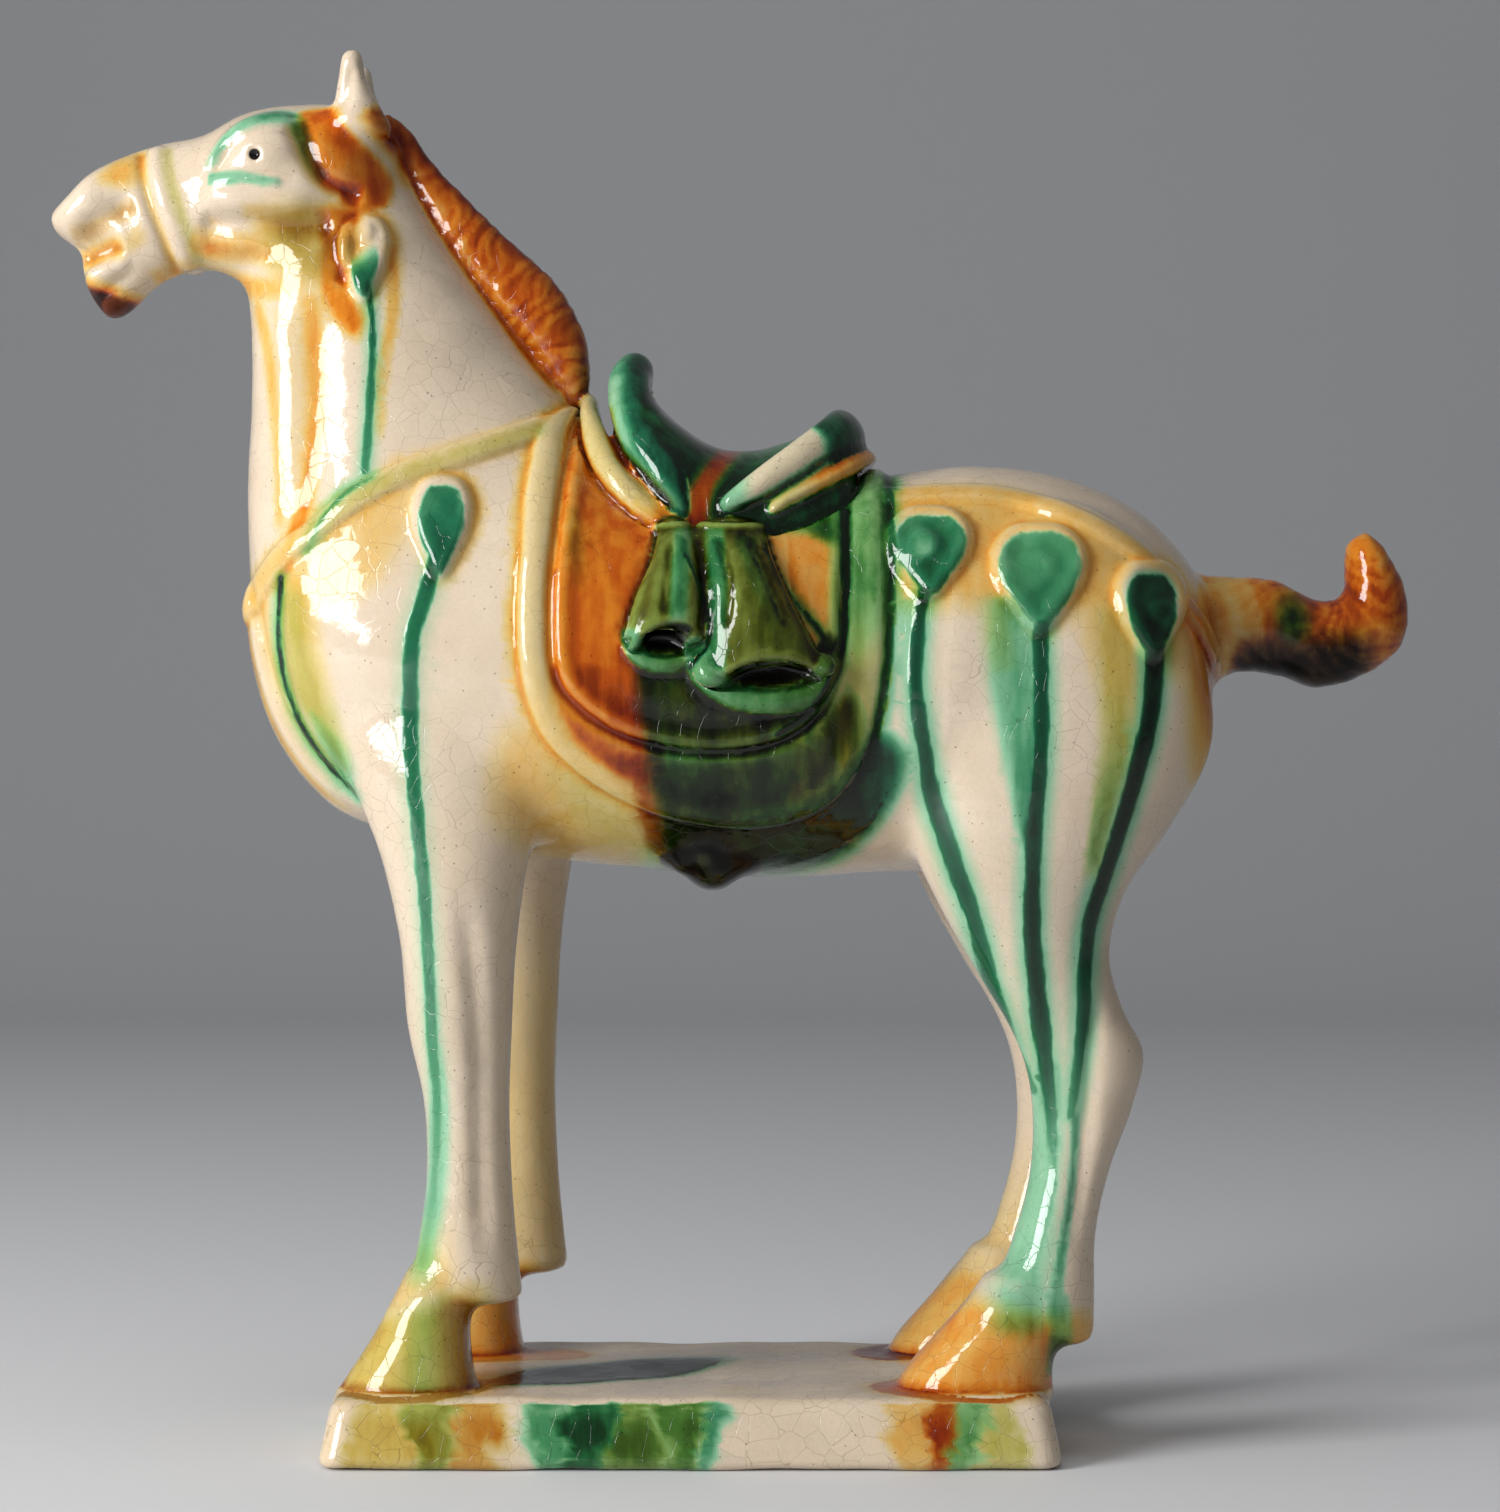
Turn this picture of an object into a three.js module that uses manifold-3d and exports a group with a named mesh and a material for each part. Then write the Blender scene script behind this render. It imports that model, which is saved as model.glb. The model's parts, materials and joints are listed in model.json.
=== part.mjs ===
// A saddled pottery horse on a rectangular plinth, slip-cast in one piece and glazed in three colours.
// Millimetres. +Z up, the horse faces -X, its left side is towards -Y, and the origin is the middle of
// the plinth's underside.

import * as THREE from "three";
import { mergeVertices } from "three/addons/utils/BufferGeometryUtils.js";
import Module from "manifold-3d";

const wasm = await Module();
wasm.setup();

// Plinth
const PLINTH_LENGTH = 129;
const PLINTH_WIDTH = 72;
const PLINTH_HEIGHT = 12;
const PLINTH_TAPER = 2.4;
const PLINTH_ROUNDING = 1.6;
const PLINTH_CORNER = 4;

// Legs, measured from the middle plane and along the body
const HOOF_SPREAD = 20;
const FAR_FORELEG_SET_BACK = 6;
const HOOF_FOOT = PLINTH_HEIGHT - 2;

// Head
const EAR_SPREAD = 8.5;
const EYE_SPREAD = 9.5;
const EYE_BULGE = { x: -75, z: 229, radii: [8, 6, 6.4], tilt: 8 };

// Heights of the reliefs above the body
const BLANKET_LIFT = 1.1;
const BLANKET_FIELD_LIFT = 1.9;
const STRAP_LIFT = 1.1;
const PENDANT_LIFT = 2.2;

// Harness
const COLLAR_WIDTH = 4.2;
const CRUPPER_WIDTH = 3.2;
const CHEST_STRAP_WIDTH = 25;
const REACH = 60;

// Locks of the mane and tail
const MANE_LOCKS = 12;
const TAIL_LOCKS = 7;
const MANE_RELIEF = 0.55;
const TAIL_RELIEF = 0.33;
const LOCK_SLANT = 0.3;

// The thick run of glaze that hangs under the belly on the left side
const HANGING_DRIP = { place: [2.6, -12, 104], radii: [7.6, 8, 5.4] };

// Faces around a form
const ROUND_BODY = 20;
const ROUND_LIMB = 12;
const ROUND_SMALL = 8;
const ROUND_ROLL = 5;

// Points along the outlines of the reliefs
const STRAP_POINTS = 7;
const LEAF_POINTS = 9;
const BORDER_POINTS = 20;
const FIELD_POINTS = 17;

const GLAZE = { color: 0xcdbfa8, roughness: 0.18, metalness: 0 };
const SIDES = [-1, 1];

// A closed geometry as a solid that can be joined and cut
function solid(geometry) {
  geometry.deleteAttribute("normal");
  geometry.deleteAttribute("uv");
  const merged = mergeVertices(geometry, 1e-4);
  const mesh = new wasm.Mesh({
    numProp: 3,
    vertProperties: new Float32Array(merged.attributes.position.array),
    triVerts: new Uint32Array(merged.index.array),
  });
  return new wasm.Manifold(mesh);
}

function unite(solids) {
  return solids.reduce((whole, piece) => whole.add(piece));
}

// One section of a form: two opposite edges, half the thickness across them, how square it is, and
// how much narrower it is at the high edge
function section(low, high, half, square = 2, taper = 0) {
  const spatial = (point) => (point.length === 3 ? point : [point[0], 0, point[1]]);
  return [...spatial(low), ...spatial(high), half, square, taper];
}

// The section at any share of the way along, on a smooth curve through the given ones
function sectionsAt(sections) {
  const curveOf = (first) => {
    const points = sections.map((values) => new THREE.Vector3(...values.slice(first, first + 3)));
    return new THREE.CatmullRomCurve3(points, false, "centripetal");
  };
  const [low, high, shape] = [curveOf(0), curveOf(3), curveOf(6)];
  return (along) => {
    const share = THREE.MathUtils.clamp(along, 0, 1);
    return { low: low.getPoint(share), high: high.getPoint(share), shape: shape.getPoint(share) };
  };
}

// The shares of the way along at which a form has rings, each with its size: the two ends close
function ringsOf(count, [startCap, endCap], capRings) {
  const rings = [];
  for (let ring = 0; ring < capRings; ring += 1) {
    const turn = (ring / capRings) * (Math.PI / 2);
    rings.push([startCap * (1 - Math.cos(turn)), Math.sin(turn)]);
  }
  for (let ring = 0; ring <= count; ring += 1) {
    rings.push([startCap + (1 - startCap - endCap) * (ring / count), 1]);
  }
  for (let ring = capRings - 1; ring >= 0; ring -= 1) {
    const turn = (ring / capRings) * (Math.PI / 2);
    rings.push([1 - endCap * (1 - Math.cos(turn)), Math.sin(turn)]);
  }
  return rings;
}

// A point on the rim of a squared oval, as shares of its two half widths
function rim(turn, square, taper) {
  const sine = Math.sin(turn);
  const cosine = Math.cos(turn);
  const up = Math.sign(sine) * Math.abs(sine) ** (2 / square);
  const out = Math.sign(cosine) * Math.abs(cosine) ** (2 / square) * (1 - taper * up);
  return [up, out];
}

// A closed form through sections. lift moves its whole skin outwards, and locks of hair stand up as
// slanting ridges.
function form(sections, options) {
  const { round = ROUND_LIMB, rings, caps, capRings = 2 } = options;
  const { lift = 0, place = [0, 0, 0], locks = 0, relief = 0 } = options;
  const at = sectionsAt(sections);
  const rows = ringsOf(rings, caps, capRings);
  const geometry = new THREE.SphereGeometry(1, round, rows.length - 1);
  const position = geometry.attributes.position;
  const middleAt = (along) => at(along).low.add(at(along).high).multiplyScalar(0.5);
  rows.forEach(([along, size], row) => {
    const { low, high, shape } = at(along);
    const middle = middleAt(along);
    const forward = middleAt(along + 0.01).sub(middleAt(along - 0.01));
    const rise = high.clone().sub(low);
    const tall = rise.length() / 2 + lift;
    const wide = shape.x + lift;
    rise.normalize();
    const across = new THREE.Vector3().crossVectors(rise, forward).normalize();
    for (let column = 0; column <= round; column += 1) {
      const [up, out] = rim((column / round) * 2 * Math.PI, shape.y, shape.z);
      const ridge = relief * Math.sin(2 * Math.PI * (locks * along + LOCK_SLANT * up));
      const point = middle.clone();
      point.addScaledVector(rise, up * (tall + ridge) * size);
      point.addScaledVector(across, out * (wide + ridge) * size);
      point.add(new THREE.Vector3(...place));
      position.setXYZ(row * (round + 1) + column, ...point);
    }
  });
  const made = solid(geometry);
  return made.volume() > 0 ? made : solid(turnedOut(geometry));
}

// The same geometry with its faces turned round
function turnedOut(geometry) {
  const index = geometry.index;
  for (let corner = 0; corner < index.count; corner += 3) {
    const first = index.getX(corner);
    index.setX(corner, index.getX(corner + 1));
    index.setX(corner + 1, first);
  }
  return geometry;
}

// The sections of an arch over the back: the given half, and its mirror image on the other side
function arched(half) {
  const mirrored = half.map(([x1, y1, z1, x2, y2, z2, ...rest]) => [x1, -y1, z1, x2, -y2, z2, ...rest]);
  return [...half, ...mirrored.slice(0, -1).reverse()];
}

// Sections made for the left side, on either side
function onSide(sections, side) {
  const turn = side < 0 ? 1 : -1;
  const turned = ([x1, y1, z1, x2, y2, z2, ...rest]) => [x1, turn * y1, z1, x2, turn * y2, z2, ...rest];
  return sections.map(turned);
}

// An ellipsoid, turned about Y
function lump(place, radii, tilt = 0) {
  const geometry = new THREE.SphereGeometry(1, ROUND_SMALL, Math.round(ROUND_SMALL * 0.6));
  geometry.scale(...radii);
  geometry.rotateY(THREE.MathUtils.degToRad(tilt));
  geometry.translate(...place);
  return solid(geometry);
}

// Points along a smooth line through a few corners, in side view
function smooth(corners, count, closed = true) {
  const points = corners.map(([x, z]) => new THREE.Vector3(x, z, 0));
  const line = new THREE.CatmullRomCurve3(points, closed, "centripetal").getPoints(count);
  return (closed ? line.slice(0, -1) : line).map((point) => new THREE.Vector2(point.x, point.y));
}

// The outline of a band of one width below a line
function band(corners, width, count) {
  const upper = smooth(corners, count, false);
  const lower = upper.map((point, index) => {
    const ahead = upper[Math.min(index + 1, count)];
    const behind = upper[Math.max(index - 1, 0)];
    const along = ahead.clone().sub(behind).normalize();
    return new THREE.Vector2(point.x + along.y * width, point.y - along.x * width);
  });
  return [...upper, ...lower.reverse()];
}

// A leaf hanging by its stalk, with its tip down
function leaf({ x, z, width, height }) {
  const corners = [
    [0, -0.5],
    [0.4, -0.14],
    [0.5, 0.16],
    [0.27, 0.46],
    [0, 0.42],
    [-0.27, 0.46],
    [-0.5, 0.16],
    [-0.4, -0.14],
  ];
  return smooth(corners.map(([right, up]) => [x + right * width, z + up * height]), LEAF_POINTS);
}

// Trunk and neck in one sweep, from the rump along the belly and chest up to the poll
const TRUNK = [
  section([93.5, 134], [92.5, 151], 9),
  section([90, 119], [87.5, 158.8], 21.5),
  section([80, 106], [79, 166.8], 28.5),
  section([66, 101], [66, 172.4], 32),
  section([50, 101.5], [51, 174.4], 33, 2.1),
  section([34, 101.5], [37, 173], 33, 2.2),
  section([15, 100.5], [18, 170], 33.8, 2.3),
  section([-8, 102], [-3, 170], 34, 2.3),
  section([-31, 104.5], [-15, 175], 33.5, 2.2),
  section([-52, 107.5], [-19, 180.5], 32.5, 2.1),
  section([-65.5, 115], [-22.5, 185.5], 31, 2, 0.08),
  section([-74, 126], [-26.5, 191], 28.5, 2, 0.16),
  section([-78.3, 139.5], [-31.5, 197], 25, 2, 0.22),
  section([-79.4, 155], [-37, 204], 21, 2, 0.24),
  section([-79.8, 170], [-42.5, 211.5], 18, 2, 0.24),
  section([-79.2, 185], [-47.5, 219], 15.5, 2, 0.2),
  section([-79.4, 200], [-51.5, 226], 13.5, 2, 0.15),
  section([-81, 211], [-55, 233], 11),
];

const HEAD = [
  section([-58, 211], [-50, 230], 8),
  section([-63.5, 206], [-60, 238.4], 13, 2.1, -0.06),
  section([-72, 205.3], [-71, 239.2], 14.2, 2.2, -0.1),
  section([-80, 207.3], [-80.5, 237.6], 13.8, 2.2, -0.06),
  section([-87, 209.8], [-88, 233.8], 11.6, 2.1),
  section([-94, 209.3], [-95, 232.4], 10),
  section([-100, 209.6], [-101.8, 230.2], 9.8, 2.1),
  section([-106, 212.6], [-107.6, 227.2], 9.8, 2.2, -0.1),
  section([-111.4, 214], [-112.4, 222.6], 8, 2.1, -0.1),
  section([-115, 216.6], [-115.6, 219.4], 4.4),
];

const JAW = [
  section([-88, 210.5], [-91, 219], 6.5),
  section([-96, 207.2], [-99, 218], 7.4),
  section([-102, 201.8], [-107.5, 215.5], 7.2),
  section([-106, 200.2], [-111, 211], 5.6),
];

const EAR = [
  section([-65.6, 233], [-52, 232], 5),
  section([-63.8, 238.6], [-56, 238.6], 3.8),
  section([-62.6, 243.6], [-58.2, 243.4], 2.7),
  section([-61.8, 247.8], [-59, 247.8], 1.6),
];

const FORELEG = [
  section([-54, 150], [-36, 148], 4),
  section([-61, 137], [-26, 135], 8),
  section([-59.5, 119], [-25, 117], 10.6),
  section([-54.4, 105], [-28.5, 104], 10.6),
  section([-51, 90], [-30.6, 89], 9.6),
  section([-49.6, 75], [-31.4, 74], 8.8),
  section([-46.8, 62], [-31.8, 61], 7.8),
  section([-46.4, 48], [-31.3, 47], 7.5),
  section([-47.8, 37.5], [-30.4, 36.5], 8),
  section([-49.5, 27], [-29.2, 26], 8),
];

const FORE_HOOF = [
  section([-49, 34], [-38, 32], 7),
  section([-51.5, 29], [-38.5, 28], 8.4),
  section([-56, 20.5], [-38.6, 20], 9.8, 2.3),
  section([-60, 14.5], [-37.8, 14], 10.6, 2.4),
  section([-62.6, HOOF_FOOT], [-37, HOOF_FOOT], 10.9, 2.4),
];

const HIND_LEG = [
  section([57, 168], [74, 166], 5),
  section([42.5, 148], [87, 147], 12.5),
  section([37.5, 125], [91, 125], 15),
  section([38, 108.5], [83, 109], 13.6),
  section([42.8, 97], [76, 99], 11.4),
  section([49.6, 85], [73, 88], 9.4),
  section([55.6, 75], [75.4, 78], 8.2),
  section([58.6, 67], [79, 70.5], 7.9),
  section([59.6, 57.5], [77.2, 61.5], 7.4),
  section([58.8, 48], [73, 50], 7),
  section([56.2, 38.5], [70.6, 39], 7.4),
  section([53.5, 30], [70.4, 29], 8.2),
  section([53.5, 22], [70.2, 18], 7.6),
];

const HIND_HOOF = [
  section([52, 33], [64, 33], 7.4),
  section([48.5, 28], [64, 27], 8.8),
  section([42, 20.5], [63.5, 20.5], 10.2, 2.3),
  section([37.2, 15], [63, 15], 10.9, 2.4),
  section([34.4, HOOF_FOOT], [63.2, HOOF_FOOT], 11.2, 2.4),
];

// The mane from between the ears to the withers: root in the neck, and the upper line
const MANE = [
  section([-58, 229], [-54.5, 237], 3.2),
  section([-54.5, 224], [-50.4, 234.6], 5),
  section([-49.5, 214], [-42, 224.4], 6.2),
  section([-42, 204], [-32.3, 214.6], 7),
  section([-33, 194.5], [-24.6, 207.8], 7.2),
  section([-26.5, 186], [-19.6, 198.5], 6.4),
  section([-22, 182], [-18.2, 188], 4),
];

const TAIL = [
  section([88, 131], [88, 155], 8),
  section([97.3, 137.2], [98.4, 154.5], 8.2),
  section([105, 136.8], [104.8, 153.8], 8),
  section([112.2, 134.6], [111.4, 150.6], 7.6),
  section([122, 137.6], [115.2, 150.4], 7.2),
  section([127.6, 142.8], [117, 152], 6.8),
  section([128.2, 151.5], [117.2, 156.6], 6.2),
  section([125, 158.4], [117.6, 160], 5),
  section([122, 162.6], [119.6, 162.6], 2.6),
];

// Saddle: the seat from its front to its back, the front arch, the rear arch and the rolled pads along
// their feet
const SEAT = [
  section([-15.5, 152], [-15, 184.5], 17),
  section([-10, 150], [-9.6, 187.5], 20.5),
  section([-3.4, 148], [-3.6, 182], 23.5),
  section([4, 147], [4, 177.6], 25.4),
  section([11, 147], [11, 177.2], 26),
  section([19, 149], [19, 179.4], 24.5),
  section([26, 152], [26, 181], 21),
  section([30, 156], [29.5, 178], 16),
];

const POMMEL = arched([
  section([-2.6, -25, 163.4], [-0.4, -25, 163.6], 1.4),
  section([-8, -23.5, 171], [2.2, -23.6, 172], 2.8),
  section([-12.8, -19, 178], [0.6, -19.5, 177.5], 3.2),
  section([-14.8, -13, 184.5], [-2.5, -13.5, 183], 3.4),
  section([-15, -6.5, 189.5], [-5.4, -6.5, 188], 3.5),
  section([-14, 0, 192], [-6.8, 0, 190.4], 3.6),
]);

const CANTLE = arched([
  section([4.5, -26, 166.5], [6, -26.4, 164], 1.6),
  section([10.5, -24.8, 171.5], [13.5, -25.2, 167.5], 2.6),
  section([17.5, -21, 176.3], [20.8, -21.5, 172.3], 2.8),
  section([23, -15, 180.3], [26.4, -15.5, 176.5], 2.9),
  section([25, -7.5, 182.6], [29, -8, 178.6], 3),
  section([25.2, 0, 183.4], [29.2, 0, 179.4], 3),
]);

const FRONT_ROLL = arched([
  section([-8.5, -24.5, 163.5], [-6, -24.5, 166.5], 1.8),
  section([-14.5, -22, 169.5], [-12, -21.5, 172], 2),
  section([-18, -17, 175.5], [-14.8, -16.5, 177.5], 2.1),
  section([-19.8, -10, 181.5], [-16.6, -10, 182.8], 2.2),
  section([-20, 0, 185], [-17, 0, 185.5], 2.2),
]);

const REAR_ROLL = arched([
  section([12.6, -26, 163.6], [13.8, -26, 166.6], 1.7),
  section([19.5, -23.5, 167.5], [20.8, -23.5, 170.5], 1.8),
  section([26, -18.5, 171.4], [27.6, -18.5, 174.2], 1.9),
  section([29.6, -10, 174], [31, -10, 176.4], 1.9),
  section([30.4, 0, 174.6], [31.8, 0, 177], 1.9),
]);

const BLANKET_OUTLINE = [
  [-25.5, 182],
  [-28.4, 172],
  [-29.2, 158],
  [-29.8, 145],
  [-28.6, 134],
  [-24.5, 124.5],
  [-15, 116.5],
  [-3, 111.5],
  [10, 110],
  [22, 113],
  [29.5, 121],
  [32.6, 133],
  [33.6, 148],
  [33.6, 163],
  [33, 180],
  [4, 190],
];

const BLANKET_FIELD = [
  [-19, 184],
  [-21.6, 170],
  [-22.6, 156],
  [-22.8, 143],
  [-20, 134],
  [-12, 128],
  [3.4, 125],
  [17.5, 127.6],
  [23.6, 137],
  [25.4, 150],
  [26, 163],
  [26, 180],
  [4, 190],
];

// The knotted cloth under the saddle's notch: two hanging folds that open like bells
const FRONT_FOLD = [
  section([-5.6, -25.5, 163], [-0.6, -25.5, 163], 1.8),
  section([-6.6, -31, 156.5], [1.4, -31, 156.5], 2.7),
  section([-9.4, -34.4, 149.5], [2.6, -34.4, 149.5], 3.4),
  section([-11.8, -36, 141.6], [2, -36, 141], 4),
];

const REAR_FOLD = [
  section([0, -25.5, 163], [12.4, -25.5, 163], 2),
  section([2.6, -32.4, 154], [14.8, -32, 154.5], 3.1),
  section([3.2, -35.4, 144], [19, -35, 145.5], 3.9),
  section([2.2, -36.4, 135], [24, -35.6, 136.5], 4.4),
];

const COLLAR_LINE = [
  [-23.5, 183],
  [-37.5, 177.6],
  [-50, 173.2],
  [-60.1, 167.8],
  [-66.1, 163.5],
  [-71.6, 159],
  [-77.5, 152],
  [-86, 142],
];

const CRUPPER_LINE = [
  [30, 168.6],
  [45.9, 169.8],
  [55.9, 169],
  [66, 165.6],
  [79.2, 157.6],
  [86, 150],
  [98, 134],
];

const CHEST_STRAP_OUTLINE = [
  [-90, 154],
  [-60, 154],
  [-52, 104],
  [-90, 104],
];

// Leaf pendants: at the throat, on the breast collar and three under the crupper
const PENDANTS = [
  { x: -58, z: 210.4, width: 8.4, height: 14.4 },
  { x: -43, z: 161.8, width: 12, height: 17 },
  { x: 41, z: 157.2, width: 13.8, height: 15.4 },
  { x: 59.8, z: 152.6, width: 15.6, height: 18 },
  { x: 79.4, z: 147.4, width: 12, height: 16.4 },
];

// Where a foreleg and a hind leg of one side stand
function foreFoot(side) {
  return [side > 0 ? FAR_FORELEG_SET_BACK : 0, side * HOOF_SPREAD, 0];
}

function hindFoot(side) {
  return [0, side * HOOF_SPREAD, 0];
}

function foreleg(side, lift) {
  return form(FORELEG, { place: foreFoot(side), rings: 11, lift, caps: [0.03, 0.015], capRings: 1 });
}

function hindLeg(side, lift) {
  return form(HIND_LEG, { place: hindFoot(side), rings: 14, lift, caps: [0.03, 0.012], capRings: 1 });
}

// The trunk, neck and legs, with their skin moved outwards by lift
function body(lift = 0) {
  const parts = [form(TRUNK, { round: ROUND_BODY, rings: 20, lift, caps: [0.02, 0.02] })];
  for (const side of SIDES) {
    parts.push(foreleg(side, lift), hindLeg(side, lift));
  }
  return unite(parts);
}

function hooves() {
  const shape = { rings: 3, caps: [0.06, 0.02], capRings: 1 };
  const parts = [];
  for (const side of SIDES) {
    parts.push(form(FORE_HOOF, { ...shape, place: foreFoot(side) }));
    parts.push(form(HIND_HOOF, { ...shape, place: hindFoot(side) }));
  }
  return unite(parts);
}

function head() {
  const parts = [
    form(HEAD, { rings: 14, caps: [0.03, 0.03] }),
    form(JAW, { round: ROUND_SMALL, rings: 4, caps: [0.1, 0.16] }),
  ];
  for (const side of SIDES) {
    const place = [0, side * EAR_SPREAD, 0];
    parts.push(form(EAR, { place, round: ROUND_SMALL, rings: 3, caps: [0.1, 0.12] }));
    parts.push(lump([EYE_BULGE.x, side * EYE_SPREAD, EYE_BULGE.z], EYE_BULGE.radii, EYE_BULGE.tilt));
  }
  return unite(parts);
}

function hair() {
  const mane = { round: ROUND_SMALL, rings: 2 * MANE_LOCKS + 2, locks: MANE_LOCKS, relief: MANE_RELIEF };
  const tail = { round: ROUND_SMALL, rings: 2 * TAIL_LOCKS + 4, locks: TAIL_LOCKS, relief: TAIL_RELIEF };
  return form(MANE, { ...mane, caps: [0.05, 0.05] }).add(form(TAIL, { ...tail, caps: [0.03, 0.08] }));
}

// A slab with a side outline in X and Z, between two values of Y
function slab(outline, from, to) {
  const shape = new THREE.Shape(outline);
  const geometry = new THREE.ExtrudeGeometry(shape, { depth: to - from, bevelEnabled: false });
  geometry.rotateX(Math.PI / 2);
  geometry.translate(0, to, 0);
  return solid(geometry);
}

// Low relief: the part of the lifted body that lies within a side outline
function raised(lifted, outline, halfWidth = REACH) {
  return lifted.intersect(slab(outline, -halfWidth, halfWidth));
}

function harness() {
  const strapLayer = body(STRAP_LIFT);
  const pendantLayer = body(PENDANT_LIFT).add(head());
  const chestStrap = CHEST_STRAP_OUTLINE.map(([x, z]) => new THREE.Vector2(x, z));
  const parts = [
    raised(strapLayer, band(COLLAR_LINE, COLLAR_WIDTH, STRAP_POINTS)),
    raised(strapLayer, band(CRUPPER_LINE, CRUPPER_WIDTH, STRAP_POINTS)),
    raised(strapLayer, chestStrap, CHEST_STRAP_WIDTH / 2),
  ];
  for (const pendant of PENDANTS) {
    parts.push(raised(pendantLayer, leaf(pendant)));
  }
  return unite(parts);
}

function blanket() {
  const border = raised(body(BLANKET_LIFT), smooth(BLANKET_OUTLINE, BORDER_POINTS));
  const field = raised(body(BLANKET_FIELD_LIFT), smooth(BLANKET_FIELD, FIELD_POINTS));
  return border.add(field);
}

function saddle() {
  const arch = { round: ROUND_SMALL, rings: 12, caps: [0.03, 0.03] };
  const roll = { round: ROUND_ROLL, rings: 9, caps: [0.03, 0.03], capRings: 1 };
  const parts = [
    form(SEAT, { round: ROUND_SMALL, rings: 6, caps: [0.06, 0.06] }),
    form(POMMEL, arch),
    form(CANTLE, arch),
    form(FRONT_ROLL, roll),
    form(REAR_ROLL, roll),
  ];
  return unite(parts);
}

function knottedCloth() {
  const fold = { round: ROUND_SMALL, rings: 4, caps: [0.08, 0.05] };
  const parts = [];
  for (const side of SIDES) {
    parts.push(form(onSide(FRONT_FOLD, side), fold), form(onSide(REAR_FOLD, side), fold));
  }
  return unite(parts);
}

function hangingDrip() {
  return lump(HANGING_DRIP.place, HANGING_DRIP.radii);
}

function plinth() {
  const halfLength = PLINTH_LENGTH / 2;
  const halfWidth = PLINTH_WIDTH / 2;
  const shape = new THREE.Shape();
  const corners = [
    [-1, -1, 0],
    [1, -1, 1],
    [1, 1, 0],
    [-1, 1, 1],
  ];
  corners.forEach(([right, back, turned], corner) => {
    const inX = (halfLength - PLINTH_CORNER) * right;
    const inY = (halfWidth - PLINTH_CORNER) * back;
    const onEnd = [halfLength * right, inY];
    const onFlank = [inX, halfWidth * back];
    const [start, end] = turned ? [onFlank, onEnd] : [onEnd, onFlank];
    if (corner === 0) {
      shape.moveTo(...start);
    } else {
      shape.lineTo(...start);
    }
    shape.quadraticCurveTo(halfLength * right, halfWidth * back, ...end);
  });
  // Each level of the side and how far it is drawn in there, for a sloping side with soft edges
  const levels = [
    [0, PLINTH_ROUNDING],
    [PLINTH_HEIGHT * 0.25, 0],
    [PLINTH_HEIGHT * 0.6, PLINTH_TAPER * 0.5],
    [PLINTH_HEIGHT * 0.88, PLINTH_TAPER],
    [PLINTH_HEIGHT, PLINTH_TAPER + PLINTH_ROUNDING],
  ];
  const steps = levels.length - 1;
  const flat = { depth: steps, steps, bevelEnabled: false, curveSegments: 2 };
  const geometry = new THREE.ExtrudeGeometry(shape, flat);
  const position = geometry.attributes.position;
  for (let index = 0; index < position.count; index += 1) {
    const [height, inset] = levels[Math.round(position.getZ(index))];
    const x = position.getX(index) * (1 - inset / halfLength);
    const y = position.getY(index) * (1 - inset / halfWidth);
    position.setXYZ(index, x, y, height);
  }
  return solid(geometry);
}

function meshOf(name, made) {
  const { vertProperties, triVerts } = made.getMesh();
  const geometry = new THREE.BufferGeometry();
  geometry.setAttribute("position", new THREE.BufferAttribute(new Float32Array(vertProperties), 3));
  geometry.setIndex(new THREE.BufferAttribute(new Uint32Array(triVerts), 1));
  geometry.computeVertexNormals();
  const mesh = new THREE.Mesh(geometry, new THREE.MeshStandardMaterial(GLAZE));
  mesh.name = name;
  return mesh;
}

const horse = unite([
  body(),
  head(),
  hair(),
  hooves(),
  harness(),
  blanket(),
  saddle(),
  knottedCloth(),
  hangingDrip(),
  plinth(),
]);

const group = new THREE.Group();
group.add(meshOf("tomb_horse", horse));

export default group;
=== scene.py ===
"""A saddled pottery horse on its plinth, glazed in running cream, amber and green lead glazes.

The horse is slip-cast in one piece, so it is one mesh here. The soft forms are lofted from sections in
millimetres, welded into one skin, and then the straps, borders, pendants, hair and face are worked into
that skin as relief. The glazes are thicknesses kept on the skin, which the material turns into colour.
"""

import json
import math

import bpy
import numpy as np
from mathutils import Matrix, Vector
from mathutils.bvhtree import BVHTree

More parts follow.
